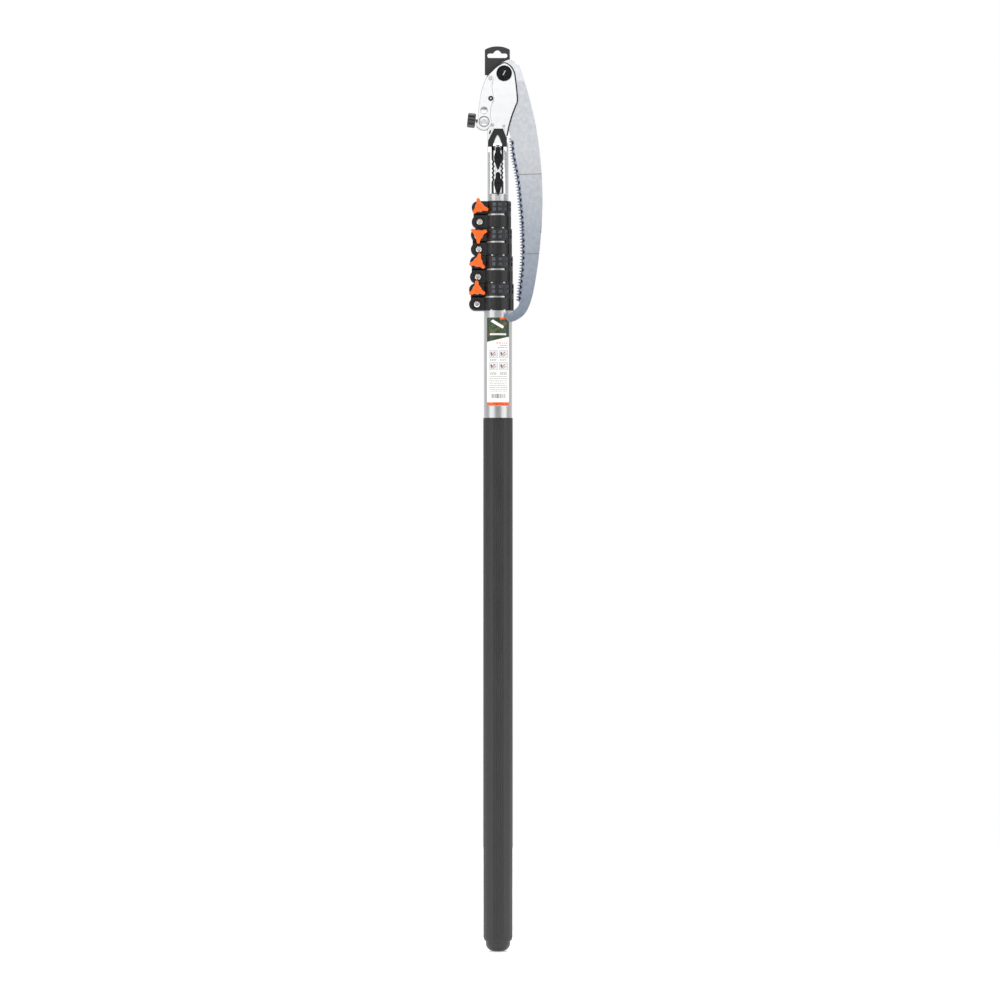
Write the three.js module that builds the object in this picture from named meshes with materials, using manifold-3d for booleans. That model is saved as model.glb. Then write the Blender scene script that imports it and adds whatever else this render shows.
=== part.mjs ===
// Telescoping pole saw, folded and pushed in: five nested tubes, four clamp collars and a folding saw head.
// Millimetres, +Z up along the pole, -Y towards the side that carries the blade, origin under the end cap.
import * as THREE from "three";
import { mergeVertices } from "three/addons/utils/BufferGeometryUtils.js";
import Module from "manifold-3d";

const wasm = await Module();
wasm.setup();

// ---- driving dimensions -------------------------------------------------------------------------------

const SECTIONS = 5;
const OUTER_TUBE_RADIUS = 22.5;
const TUBE_WALL = 1.1;
const TUBE_SLIDE_GAP = 0.325; // radial, between a tube and the next one inside it
const ROUND_STEPS = 36; // facets round a tube
const SMALL_STEPS = 24; // facets round plugs and other hidden turned pieces
const FIT_GAP = 0.3; // between pieces that are fixed to each other
const RUN_GAP = 0.2; // between flat faces that rub

const CAP_FOOT_RADIUS = 6.5;
const CAP_STEP_IN = 2.5; // how far the dome stands inside the outer tube
const CAP_DOME_HEIGHT = 13;
const CAP_HEIGHT = 16.4;
const CAP_SHOULDER_TOP = 22;
const CAP_SPIGOT_LENGTH = 12;

const GRIP_TO_LABEL = 18.9;
const GRIP_WALL = 0.9;
const GRIP_FLUTE_DEPTH = 0.5;
const GRIP_FLUTES_PER_BAND = 5;
const GRIP_BANDS = 4;
const GRIP_BAND_HALF_ANGLE = 22; // degrees each side of a band's middle
const GRIP_CHAMFER = 4.7;

const LABEL_HEIGHT = 141.4;
const LABEL_TO_COLLAR = 10.9;
const LABEL_HALF_ANGLE = 50.5;
const LABEL_THICKNESS = 0.25;

const COLLAR_STACK_BOTTOM = 1024; // sets the length of the main tube
const COLLAR_PITCH = 43.875;
const COLLAR_WALL = 2.6; // round the tube that the collar is fixed to
const COLLAR_SLOT_BOTTOM = 20.6;
const COLLAR_SLOT_HEIGHT = 3;
const COLLAR_SLOT_END_X = 9.4;
const COLLAR_SPLIT = 3; // gap between the front and rear ears
const EAR_RADIUS = 10.2;
const EAR_REACH = 2.6; // the lobe's centre lies this far outside its bolt
const EAR_BOLT_OFFSET = 11; // bolt axis outside the fixed tube
const EAR_FACE_Y = 13;
const EAR_NECK = 7.4;
const LOWER_BOLT_Z = 10.3;
const UPPER_BOLT_Z = 33.3;
const STUD_RADIUS = 2.9;
const SCREW_RADIUS = 2.4;
const SCREW_HEAD_RADIUS = 5.3;
const SCREW_RECESS_RADIUS = 7.6;
const SCREW_RECESS_DEPTH = 2.6;
const NUT_ACROSS_FLATS = 9.6;
const NUT_HEIGHT = 4.6;
const POCKET_ANGLES = [-18.7, 11, 41, 71]; // degrees from the front
const POCKET_ROWS = [[27.6, 32.8], [34.8, 41]];
const POCKET_DEPTH = 2;
const POCKET_WIDTH = 7.2;
const PANEL = { angles: [-17, 3], width: 6.6, depth: 0.9, bottom: 2.6, top: 19 };
const FLUTE = { angles: [46, 72], width: 4.4, depth: 1, bottom: 2.2, top: 19 };
const NOTCH = { angles: [-29, 28], width: 6, top: 1.6 };
const SLOT_END_RADIUS = 2.1;

const KNOB_TIP_RADIUS = 14.4;
const KNOB_HUB_RADIUS = 7;
const KNOB_WING_WIDTH = 4.6;
const KNOB_WING_THICKNESS = 6.6;
const KNOB_WING_STANDOFF = 4.2; // from the front ear's face to the wings
const KNOB_TURNS = [91.6, 77.3, 26.3, 102]; // where one wing points on each knob, lowest collar first
const WASHER_THICKNESS = 1;

const TUBE_5_BARE = 88.5; // of the fifth tube above the top collar
const HEAD_DATUM = 1288; // height of the fifth tube's top in the saw head's own drawing
const PLUG_FLANGE = 3;
const PLUG_LENGTH = 13;
const PLUG_BOTTOM_FIRST = 36;
const PLUG_PITCH = 14;

const SHEET = 2; // steel of the two cheeks
const LINER_THICKNESS = 1.05;
const BLADE_THICKNESS = 2;
const BLADE_STANDOFF = 0.5; // behind the blade, to the outer tube's front; clears the collars beside the hook
const LEVER_SHEET = 1.6;
const LEVER_PIN_RADIUS = 2.5;
const LEVER_PIN_HEAD_RADIUS = 4.1;
const NOSE_PIN_RADIUS = 1.8;
const NOSE_PIN_HEAD_RADIUS = 3.2;
const BARREL_RADIUS = 5;
const BARREL_HEAD_RADIUS = 8;

const PIVOT = { x: 9.84, z: 1401.5 };
const LEVER_PIVOT = { x: -11.5, z: 1361.3 };
const NOSE_PIN = { x: -12.2, z: 1392.5 };
const BARREL_NUT = { x: -22.1, z: 1324.5 };
const PIVOT_BUSH_RADIUS = 6;
const PIVOT_BOLT_RADIUS = 4;
const PIVOT_NUT_FLANGE_RADIUS = 12.4;
const PIVOT_NUT_DISH_RADIUS = 10.6;
const PIVOT_NUT_ACROSS_FLATS = 13;
const PIVOT_NUT_HEIGHT = 7;
const PIVOT_HEAD_RADIUS = 9;
const LINER_OVERHANG = 2; // past the cheeks' crown
const BLADE_OPEN_ANGLE = 162;
const TOOTH_PITCH = 4.6;
const TOOTH_DEPTH = 4.6;

const TROUGH_BOTTOM = 1210.4;
const TROUGH_HALF_WIDTH = 16.4;
const SADDLE_BOLT_HEIGHTS = [1227, 1268];
const SADDLE_BOLT_RADIUS = 2.9;
const TROUGH_WALL = 1.4;
const TROUGH_RAIL = 3.2; // from the bore to the top of the rails
const SPACER_LEG_DEPTH = 2.2;
const SADDLE_BOSS = 3;
const SADDLE_BOSS_RADIUS = 6.2;
const SADDLE_CROWN = 2.2;
const SADDLE_SOCKET = 3.6; // across the flats

const THUMB_TILT = 6.2; // degrees that the thumb screw rises to the left
const THUMB_STEM_RADIUS = 3;
const THUMB_KNOB_RADIUS = 11.7;
const THUMB_KNOB_LENGTH = 12.6;
const THUMB_KNOB_START = 14; // from the barrel nut's axis
const THUMB_TIP = 9.2;
const THUMB_LOBES = 8;
const THUMB_WASHER_RADIUS = 5.6;

const TAB_THICKNESS = 1.5;
const TAB_TOP = 1445.4;

// ---- finishes ----------------------------------------------------------------------------------------

function finish(color, roughness, metalness) {
  return new THREE.MeshStandardMaterial({ color, roughness, metalness });
}

const ALUMINIUM = finish(0xc9cbce, 0.35, 1);
const CHROME = finish(0xeceded, 0.12, 1);
const BLADE_STEEL = finish(0xc6cbd2, 0.38, 1);
const BLACK_STEEL = finish(0x242426, 0.35, 0.6);
const ZINC = finish(0xd8d9dc, 0.3, 1);
const BLACK_NYLON = finish(0x232325, 0.5, 0);
const GRIP_PVC = finish(0x37373a, 0.65, 0);
const ORANGE_NYLON = finish(0xf4782c, 0.45, 0);
const LABEL_FILM = finish(0xf2f2ee, 0.5, 0);
const TAB_PLASTIC = finish(0x474749, 0.55, 0);

// ---- solids ------------------------------------------------------------------------------------------

// A closed three.js geometry as a manifold solid, turned to face outwards.
function solid(geometry) {
  const bare = geometry.clone();
  bare.deleteAttribute("normal");
  bare.deleteAttribute("uv");
  const merged = mergeVertices(bare, 1e-4);
  const corners = merged.index.array;
  const triangles = [];
  for (let i = 0; i < corners.length; i += 3) {
    const [a, b, c] = [corners[i], corners[i + 1], corners[i + 2]];
    if (a !== b && b !== c && c !== a) triangles.push(a, b, c);
  }
  const build = (triVerts) => {
    const vertProperties = merged.attributes.position.array;
    return new wasm.Manifold(new wasm.Mesh({ numProp: 3, vertProperties, triVerts }));
  };
  const made = build(new Uint32Array(triangles));
  return made.volume() < 0 ? build(new Uint32Array(triangles.reverse())) : made;
}

function geometryOf(manifold) {
  const { numProp, vertProperties, triVerts } = manifold.getMesh();
  const positions = new Float32Array((vertProperties.length / numProp) * 3);
  for (let i = 0; i < positions.length / 3; i++) {
    positions.set(vertProperties.subarray(i * numProp, i * numProp + 3), i * 3);
  }
  const geometry = new THREE.BufferGeometry();
  geometry.setAttribute("position", new THREE.BufferAttribute(positions, 3));
  geometry.setIndex(new THREE.BufferAttribute(new Uint32Array(triVerts), 1));
  const flat = geometry.toNonIndexed();
  flat.computeVertexNormals();
  return flat;
}

function part(name, material, manifold) {
  const mesh = new THREE.Mesh(geometryOf(manifold), material);
  mesh.name = name;
  return mesh;
}

const join = (...solids) => solids.reduce((whole, next) => whole.add(next));
const cut = (whole, ...tools) => tools.reduce((left, tool) => left.subtract(tool), whole);
const radians = THREE.MathUtils.degToRad;
const points = (pairs) => pairs.map(([x, y]) => new THREE.Vector2(x, y));

// Turned about Z from [radius, z] pairs; the profile starts and ends on the axis or closes on itself.
function turned(profile, steps = ROUND_STEPS) {
  return solid(new THREE.LatheGeometry(points(profile), steps).rotateX(Math.PI / 2));
}

function ring(inner, outer, bottom, top, steps = ROUND_STEPS) {
  const profile = [[inner, bottom], [outer, bottom], [outer, top], [inner, top], [inner, bottom]];
  return turned(profile, steps);
}

function disc(radius, bottom, top, steps = ROUND_STEPS) {
  return turned([[0, bottom], [radius, bottom], [radius, top], [0, top]], steps);
}

// A block between two corners.
function block([x0, y0, z0], [x1, y1, z1]) {
  const box = new THREE.BoxGeometry(x1 - x0, y1 - y0, z1 - z0);
  return solid(box.translate((x0 + x1) / 2, (y0 + y1) / 2, (z0 + z1) / 2));
}

// A round bar along Y at x, z, from the front face to the back face.
function barY(radius, x, z, front, back, steps = 16) {
  const bar = new THREE.CylinderGeometry(radius, radius, back - front, steps);
  return solid(bar.translate(x, (front + back) / 2, z));
}

// An x, z outline cut from sheet that lies between the planes y = front and y = back.
function sheetPiece(shape, front, back) {
  const depth = back - front;
  const flat = new THREE.ExtrudeGeometry(shape, { depth, bevelEnabled: false, curveSegments: 8 });
  return solid(flat.rotateX(Math.PI / 2).translate(0, back, 0));
}

const shapeOf = (outline) => new THREE.Shape(outline);
const smooth = (pairs, steps) => new THREE.SplineCurve(points(pairs)).getPoints(steps);

// Part of a ring round the pole, centred on the front, between two heights.
function frontArc(inner, outer, halfAngle, bottom, top, steps = 14) {
  const shape = new THREE.Shape();
  const middle = -Math.PI / 2;
  const half = radians(halfAngle);
  shape.absarc(0, 0, outer, middle - half, middle + half, false);
  shape.absarc(0, 0, inner, middle + half, middle - half, true);
  const depth = top - bottom;
  const bent = new THREE.ExtrudeGeometry(shape, { depth, bevelEnabled: false, curveSegments: steps });
  return solid(bent.translate(0, 0, bottom));
}

// A radial block at an angle from the front, with its inner face at the given radius.
function radialBlock(angle, width, inner, outer, bottom, top) {
  const box = new THREE.BoxGeometry(width, outer - inner, top - bottom);
  box.translate(0, -(inner + outer) / 2, (bottom + top) / 2).rotateZ(radians(angle));
  return solid(box);
}

// ---- pole --------------------------------------------------------------------------------------------

const tubeRadius = (n) => OUTER_TUBE_RADIUS - (n - 1) * (TUBE_WALL + TUBE_SLIDE_GAP);
const tubeBore = (n) => tubeRadius(n) - TUBE_WALL;
const collarBottom = (n) => COLLAR_STACK_BOTTOM + (n - 1) * COLLAR_PITCH;
const collarHeight = COLLAR_PITCH - FIT_GAP;
const plugBottom = (n) => PLUG_BOTTOM_FIRST + (n - 2) * PLUG_PITCH;
const capRadius = OUTER_TUBE_RADIUS - CAP_STEP_IN;
const labelTop = COLLAR_STACK_BOTTOM - LABEL_TO_COLLAR;
const labelBottom = labelTop - LABEL_HEIGHT;
const gripTop = labelBottom - GRIP_TO_LABEL;
const tubeSeat = COLLAR_SLOT_BOTTOM + COLLAR_SLOT_HEIGHT - FIT_GAP;
const tube5Top = collarBottom(SECTIONS - 1) + COLLAR_PITCH + TUBE_5_BARE;
const headLift = tube5Top - HEAD_DATUM;

function tubeBottom(n) {
  return (n === 1 ? CAP_SHOULDER_TOP : plugBottom(n) + PLUG_FLANGE) + FIT_GAP;
}

function tubeTop(n) {
  return n === SECTIONS ? tube5Top : collarBottom(n) + tubeSeat;
}

function tube(n) {
  let body = ring(tubeBore(n), tubeRadius(n), tubeBottom(n), tubeTop(n));
  if (n === SECTIONS) {
    for (const z of SADDLE_BOLT_HEIGHTS) {
      const hole = barY(SADDLE_BOLT_RADIUS + FIT_GAP, 0, z + headLift, -tubeRadius(n) - 1, 0);
      body = cut(body, hole);
    }
  }
  return part(`tube_${n}`, ALUMINIUM, body);
}

// The plastic foot in the lower end of an inner tube, which centres it in the next tube out.
function guidePlug(n) {
  const spigot = tubeBore(n) - TUBE_SLIDE_GAP;
  const bottom = plugBottom(n);
  const profile = [
    [0, bottom],
    [tubeRadius(n), bottom],
    [tubeRadius(n), bottom + PLUG_FLANGE],
    [spigot, bottom + PLUG_FLANGE],
    [spigot, bottom + PLUG_LENGTH],
    [0, bottom + PLUG_LENGTH],
  ];
  return part(`guide_plug_${n}`, BLACK_NYLON, turned(profile, SMALL_STEPS));
}

function endCap() {
  const dome = new THREE.EllipseCurve(
    CAP_FOOT_RADIUS, CAP_DOME_HEIGHT, capRadius - CAP_FOOT_RADIUS, CAP_DOME_HEIGHT, -Math.PI / 2, 0,
  );
  const spigot = tubeBore(1) - FIT_GAP;
  const profile = [
    [0, 0],
    ...dome.getPoints(5).map((p) => [p.x, p.y]),
    [capRadius, CAP_HEIGHT + 2],
    [OUTER_TUBE_RADIUS, CAP_HEIGHT + 2],
    [OUTER_TUBE_RADIUS, CAP_SHOULDER_TOP],
    [spigot, CAP_SHOULDER_TOP],
    [spigot, CAP_SHOULDER_TOP + CAP_SPIGOT_LENGTH],
    [0, CAP_SHOULDER_TOP + CAP_SPIGOT_LENGTH],
  ];
  return part("end_cap", BLACK_NYLON, turned(profile));
}

// The sleeve's outline: bands of lengthwise flutes with smooth strips between them.
function flutedOutline(radius) {
  const outline = [];
  const flutePitch = (2 * GRIP_BAND_HALF_ANGLE) / GRIP_FLUTES_PER_BAND;
  const at = (angle, r) => {
    const a = radians(angle);
    outline.push(new THREE.Vector2(r * Math.sin(a), -r * Math.cos(a)));
  };
  const bandPitch = 360 / GRIP_BANDS;
  for (let band = 0; band < GRIP_BANDS; band++) {
    const start = band * bandPitch - GRIP_BAND_HALF_ANGLE;
    for (let flute = 0; flute < GRIP_FLUTES_PER_BAND; flute++) {
      const from = start + flute * flutePitch;
      at(from, radius);
      at(from + flutePitch * 0.5, radius);
      at(from + flutePitch * 0.62, radius - GRIP_FLUTE_DEPTH);
      at(from + flutePitch * 0.88, radius - GRIP_FLUTE_DEPTH);
    }
    const plain = bandPitch - 2 * GRIP_BAND_HALF_ANGLE;
    for (let step = 0; step <= 4; step++) {
      at(start + 2 * GRIP_BAND_HALF_ANGLE + (plain * step) / 4.6, radius);
    }
  }
  return outline;
}

function gripSleeve() {
  const inner = OUTER_TUBE_RADIUS + FIT_GAP / 2;
  const outer = inner + GRIP_WALL;
  const start = CAP_HEIGHT + FIT_GAP;
  const shape = shapeOf(flutedOutline(outer));
  const bore = new THREE.Path().absarc(0, 0, inner, 0, 2 * Math.PI, true);
  shape.holes.push(bore);
  const straight = new THREE.ExtrudeGeometry(shape, {
    depth: gripTop - start - GRIP_CHAMFER, bevelEnabled: false, curveSegments: ROUND_STEPS,
  });
  const lipInner = capRadius + FIT_GAP;
  const lipTop = CAP_HEIGHT + 2 - FIT_GAP;
  const lip = turned([
    [lipInner, start],
    [lipInner + 0.5, start],
    [outer - 0.4, start + GRIP_CHAMFER],
    [outer - GRIP_FLUTE_DEPTH - 0.1, start + GRIP_CHAMFER + 0.4],
    [inner, start + GRIP_CHAMFER + 0.4],
    [inner, lipTop],
    [lipInner, lipTop],
    [lipInner, start],
  ]);
  return part("grip_sleeve", GRIP_PVC, join(solid(straight.translate(0, 0, start + GRIP_CHAMFER)), lip));
}

function label() {
  const inner = OUTER_TUBE_RADIUS + FIT_GAP / 2;
  const film = frontArc(inner, inner + LABEL_THICKNESS, LABEL_HALF_ANGLE, labelBottom, labelTop);
  return part("label", LABEL_FILM, film);
}

// ---- clamp collars -----------------------------------------------------------------------------------

const boltX = (n) => -(tubeRadius(n) + EAR_BOLT_OFFSET);
const knobWingBackY = EAR_FACE_Y + KNOB_WING_STANDOFF;

function hexagonY(acrossFlats, x, z, front, back) {
  const corner = acrossFlats / Math.sqrt(3);
  const bar = new THREE.CylinderGeometry(corner, corner, back - front, 6);
  return solid(bar.translate(x, (front + back) / 2, z));
}

function collarEars(n) {
  const x = boltX(n) - EAR_REACH;
  const lobes = [LOWER_BOLT_Z, UPPER_BOLT_Z].map((z) =>
    join(
      barY(EAR_RADIUS, x, z, -EAR_FACE_Y, EAR_FACE_Y, 20),
      block([x, -EAR_FACE_Y, z - EAR_RADIUS], [-tubeRadius(n) / 2, EAR_FACE_Y, z + EAR_RADIUS]),
    ),
  );
  const inside = -tubeRadius(n) / 2;
  const neck = block([x - EAR_NECK, -EAR_FACE_Y, LOWER_BOLT_Z], [inside, EAR_FACE_Y, UPPER_BOLT_Z]);
  return join(...lobes, neck);
}

// One moulding: its lower half is screwed to tube n, its upper half clamps tube n + 1.
function collar(n) {
  const outer = tubeRadius(n) + FIT_GAP / 2 + COLLAR_WALL;
  const seat = tubeRadius(n) + FIT_GAP / 2;
  const slide = tubeRadius(n + 1) + TUBE_SLIDE_GAP;
  const slotTop = COLLAR_SLOT_BOTTOM + COLLAR_SLOT_HEIGHT;
  const bolt = boltX(n);
  const far = 2 * OUTER_TUBE_RADIUS + 20;
  const bores = join(disc(seat, -1, slotTop), disc(slide, 0, collarHeight + 1));
  const split = block([-far, -COLLAR_SPLIT / 2, -1], [-slide + 1, COLLAR_SPLIT / 2, collarHeight + 1]);
  const slot = block([-far, -far, COLLAR_SLOT_BOTTOM], [COLLAR_SLOT_END_X, -COLLAR_SPLIT / 2, slotTop]);
  const slotMiddle = COLLAR_SLOT_BOTTOM + COLLAR_SLOT_HEIGHT / 2;
  const slotEnd = barY(SLOT_END_RADIUS, COLLAR_SLOT_END_X + 1.6, slotMiddle, -far, -5, 12);
  const pockets = POCKET_ANGLES.flatMap((angle) =>
    POCKET_ROWS.map(([low, high]) => radialBlock(angle, POCKET_WIDTH, outer - POCKET_DEPTH, far, low, high)),
  );
  const recesses = [PANEL, FLUTE].flatMap(({ angles, width, depth, bottom, top }) =>
    angles.map((angle) => radialBlock(angle, width, outer - depth, far, bottom, top)),
  );
  const notches = NOTCH.angles.map((angle) => radialBlock(angle, NOTCH.width, seat - 1, far, -1, NOTCH.top));
  const body = join(disc(outer, 0, collarHeight), collarEars(n));
  return part(`collar_${n}`, BLACK_NYLON, cut(
    body, bores, split, slot, slotEnd, ...pockets, ...recesses, ...notches,
    barY(STUD_RADIUS + FIT_GAP, bolt, UPPER_BOLT_Z, -far, far),
    barY(SCREW_RADIUS + FIT_GAP, bolt, LOWER_BOLT_Z, -far, EAR_FACE_Y - 3),
    barY(SCREW_RECESS_RADIUS, bolt, LOWER_BOLT_Z, -far, -EAR_FACE_Y + SCREW_RECESS_DEPTH),
    hexagonY(NUT_ACROSS_FLATS + 2 * FIT_GAP, bolt, UPPER_BOLT_Z, EAR_FACE_Y - NUT_HEIGHT - FIT_GAP, far),
  ));
}

// The wing knob's outline: three tapering wings on a round hub.
function wingOutline() {
  const outline = [];
  const at = (angle, r) => {
    const a = radians(angle);
    outline.push(new THREE.Vector2(r * Math.cos(a), r * Math.sin(a)));
  };
  const tipHalfAngle = THREE.MathUtils.radToDeg(Math.asin(KNOB_WING_WIDTH / 2 / KNOB_TIP_RADIUS));
  for (let wing = 0; wing < 3; wing++) {
    const middle = wing * 120;
    at(middle - tipHalfAngle, KNOB_TIP_RADIUS - 0.5);
    at(middle - tipHalfAngle / 2, KNOB_TIP_RADIUS);
    at(middle + tipHalfAngle / 2, KNOB_TIP_RADIUS);
    at(middle + tipHalfAngle, KNOB_TIP_RADIUS - 0.5);
    at(middle + 23, 8.8);
    at(middle + 40, KNOB_HUB_RADIUS);
    at(middle + 60, KNOB_HUB_RADIUS + 0.2);
    at(middle + 80, KNOB_HUB_RADIUS);
    at(middle + 97, 8.8);
  }
  return outline;
}

function wingKnob(n) {
  const wings = new THREE.ExtrudeGeometry(shapeOf(wingOutline()), {
    depth: KNOB_WING_THICKNESS, bevelEnabled: false,
  });
  wings.rotateZ(radians(KNOB_TURNS[n - 1])).rotateX(Math.PI / 2);
  wings.translate(0, -knobWingBackY, 0);
  const base = -EAR_FACE_Y - WASHER_THICKNESS - 2 * FIT_GAP;
  const body = cut(
    join(solid(wings), barY(KNOB_HUB_RADIUS, 0, 0, -knobWingBackY - 2, base, 24)),
    barY(STUD_RADIUS + FIT_GAP, 0, 0, -knobWingBackY - 4, 0),
  );
  return part(`wing_knob_${n}`, ORANGE_NYLON, body);
}

function panHeadScrew(radius, headRadius, headFront, headBack, end) {
  const crossArm = 1.1;
  const reach = headRadius * 0.62;
  const floor = headFront + 1.4;
  const recess = join(
    block([-reach, headFront - 1, -crossArm], [reach, floor, crossArm]),
    block([-crossArm, headFront - 1, -reach], [crossArm, floor, reach]),
  );
  const head = barY(headRadius, 0, 0, headFront, headBack);
  return cut(join(head, barY(radius, 0, 0, headBack - 0.5, end, 12)), recess);
}

function clamp(n) {
  const group = new THREE.Group();
  group.position.set(0, 0, collarBottom(n));
  group.add(collar(n));

  const upper = new THREE.Group();
  upper.position.set(boltX(n), 0, UPPER_BOLT_Z);
  const washer = cut(
    barY(KNOB_HUB_RADIUS + 0.6, 0, 0, -EAR_FACE_Y - FIT_GAP - WASHER_THICKNESS, -EAR_FACE_Y - FIT_GAP),
    barY(STUD_RADIUS + FIT_GAP, 0, 0, -EAR_FACE_Y - 5, -EAR_FACE_Y + 5),
  );
  const nutBack = EAR_FACE_Y - FIT_GAP;
  const nut = cut(
    hexagonY(NUT_ACROSS_FLATS, 0, 0, nutBack - NUT_HEIGHT + FIT_GAP, nutBack),
    barY(STUD_RADIUS + FIT_GAP, 0, 0, 0, EAR_FACE_Y + 5),
  );
  upper.add(
    wingKnob(n),
    part(`knob_washer_${n}`, ZINC, washer),
    part(`clamp_stud_${n}`, ZINC, barY(STUD_RADIUS, 0, 0, -knobWingBackY - 3.6, EAR_FACE_Y + 2.6, 12)),
    part(`clamp_nut_${n}`, ZINC, nut),
  );

  const headBack = -EAR_FACE_Y + SCREW_RECESS_DEPTH - FIT_GAP;
  const screw = part(
    `collar_screw_${n}`, ZINC,
    panHeadScrew(SCREW_RADIUS, SCREW_HEAD_RADIUS, headBack - 3, headBack, EAR_FACE_Y - 4),
  );
  screw.position.set(boltX(n), 0, LOWER_BOLT_Z);
  group.add(upper, screw);
  return group;
}

// ---- saw head ----------------------------------------------------------------------------------------

const bladeBackY = -(OUTER_TUBE_RADIUS + BLADE_STANDOFF);
const bladeFrontY = bladeBackY - BLADE_THICKNESS;
const rearLiner = [bladeBackY + RUN_GAP, bladeBackY + RUN_GAP + LINER_THICKNESS];
const frontLiner = [bladeFrontY - RUN_GAP - LINER_THICKNESS, bladeFrontY - RUN_GAP];
const rearCheek = [rearLiner[1] + RUN_GAP, rearLiner[1] + RUN_GAP + SHEET];
const frontCheek = [frontLiner[0] - RUN_GAP - SHEET, frontLiner[0] - RUN_GAP];
const leverFront = [frontCheek[0] - FIT_GAP - LEVER_SHEET, frontCheek[0] - FIT_GAP];
const leverRear = [rearCheek[1] + FIT_GAP, rearCheek[1] + FIT_GAP + LEVER_SHEET];
const head = { left: -16.2, prongBottom: 1294, stripTop: 1313 };
const troughBore = tubeRadius(SECTIONS) + FIT_GAP;
const troughFloor = troughBore + TROUGH_WALL;
const saddleSeat = troughFloor + FIT_GAP;

// The rounded top and right side that both cheeks share, from the upper left corner to the right prong.
const CHEEK_CROWN = [
  [-16.4, 1397.6], [-4.6, 1409.2], [1.5, 1413.6], [6.8, 1416.8], [11, 1417.4], [16, 1415.3], [21, 1411],
  [25.2, 1403], [27, 1393], [29.9, 1366.4], [29.7, 1355.6], [27, 1349], [21.1, 1333], [16.6, 1317],
  [13.4, 1301.4],
];

// Moves an open chain of points to its left-hand side.
function offsetChain(chain, distance) {
  return chain.map(([x, z], i) => {
    const [ax, az] = chain[Math.max(i - 1, 0)];
    const [bx, bz] = chain[Math.min(i + 1, chain.length - 1)];
    const length = Math.hypot(bx - ax, bz - az);
    return [x - ((bz - az) / length) * distance, z + ((bx - ax) / length) * distance];
  });
}

const RIVETS = [[-8.4, 1319], [9.4, 1317.5]];
const RIVET_RADIUS = 2.2;

function cheekHoles() {
  const notch = NOSE_PIN_RADIUS + 1;
  return [
    barY(PIVOT_BOLT_RADIUS + FIT_GAP, PIVOT.x, PIVOT.z, -60, 0),
    barY(LEVER_PIN_RADIUS + RUN_GAP, LEVER_PIVOT.x, LEVER_PIVOT.z, -60, 0),
    block([head.left - 8, -60, NOSE_PIN.z - notch], [NOSE_PIN.x + notch, 0, NOSE_PIN.z + notch]),
    ...RIVETS.map(([x, z]) => barY(RIVET_RADIUS + RUN_GAP, x, z, -60, 0)),
  ];
}

// The left side is hollowed where the thumb screw's tip bears on it.
const CHEEK_LEFT = [[-16.6, 1314], [-12.8, 1317.4], [-12.8, 1346], [-18, 1352], [-20, 1375], [-19.6, 1394.6]];

function frontCheekPiece() {
  const outline = points([
    ...CHEEK_CROWN,
    [12.4, 1300.8], [7.7, head.stripTop], [-6.2, head.stripTop], [-15.4, head.prongBottom],
    [-16.6, head.prongBottom], ...CHEEK_LEFT,
  ]);
  return part("front_cheek", CHROME, cut(sheetPiece(shapeOf(outline), ...frontCheek), ...cheekHoles()));
}

// The rear cheek runs down into a curved saddle that lies on the tube.
function headBracket() {
  const rail = troughBore + TROUGH_RAIL;
  const top = HEAD_DATUM + 4;
  const outline = points([...CHEEK_CROWN, [13.4, 1290], [-16.6, 1290], ...CHEEK_LEFT]);
  const cheek = sheetPiece(shapeOf(outline), ...rearCheek);
  const halfAngle = (radius) => THREE.MathUtils.radToDeg(Math.asin(TROUGH_HALF_WIDTH / radius));
  const saddle = frontArc(troughBore, troughFloor, halfAngle(troughFloor), TROUGH_BOTTOM, top, 10);
  const railBlank = frontArc(troughBore + 0.5, rail, halfAngle(rail), TROUGH_BOTTOM, top, 10);
  const rails = cut(railBlank, sheetPiece(shapeOf(channelOutline(0)), -40, 0));
  const shoulder = (from, to, profile) => {
    const side = shapeOf(points(profile));
    const wedge = new THREE.ExtrudeGeometry(side, { depth: to - from, bevelEnabled: false });
    return solid(wedge.rotateX(Math.PI / 2).rotateZ(Math.PI / 2).translate(from, 0, 0));
  };
  const [cheekFront, cheekBack] = rearCheek;
  const middle = shoulder(-7.6, 6.1, [
    [cheekFront, 1291], [cheekFront, 1296], [cheekBack + 3, 1296], [-troughBore + 1, 1286.6],
    [-troughFloor, 1286.6],
  ]);
  const flank = [
    [cheekFront, 1290.4], [cheekFront, 1295], [cheekBack + 4, 1295], [7.1 - troughBore, 1280],
    [1.7 - troughBore, 1277],
  ];
  const shoulders = join(middle, shoulder(-15.6, -10.6, flank), shoulder(9.2, 13.2, flank));
  const tubeRoom = disc(troughBore, TROUGH_BOTTOM - 1, HEAD_DATUM + FIT_GAP);
  return part("head_bracket", CHROME, cut(
    join(cheek, saddle, rails, shoulders), tubeRoom, ...cheekHoles(),
    ...SADDLE_BOLT_HEIGHTS.map((z) => barY(SADDLE_BOLT_RADIUS + FIT_GAP, 0, z, -60, 0)),
  ));
}

// The recessed channel down the saddle; its edges are scalloped between the two clamp bolts.
function channelOutline(inset) {
  const scallopPitch = 7.1;
  const scallopDepth = 1.9;
  const [low, high] = [TROUGH_BOTTOM - 1 + inset, HEAD_DATUM + 6];
  const [leftEdge, rightEdge] = [-10.4 + inset, 8.9 - inset];
  const [scallopsFrom, scallopsTo] = [1229.4, 1266];
  const left = [];
  const right = [];
  for (let z = scallopsFrom, i = 0; z < scallopsTo; z += scallopPitch / 2, i++) {
    const reach = i % 2 ? scallopDepth : 0;
    left.push([leftEdge + reach, z]);
    right.push([rightEdge - reach, z]);
  }
  return points([
    [rightEdge, low], ...right, [rightEdge, high], [leftEdge, high], ...left.reverse(), [leftEdge, low],
  ]);
}

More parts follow.
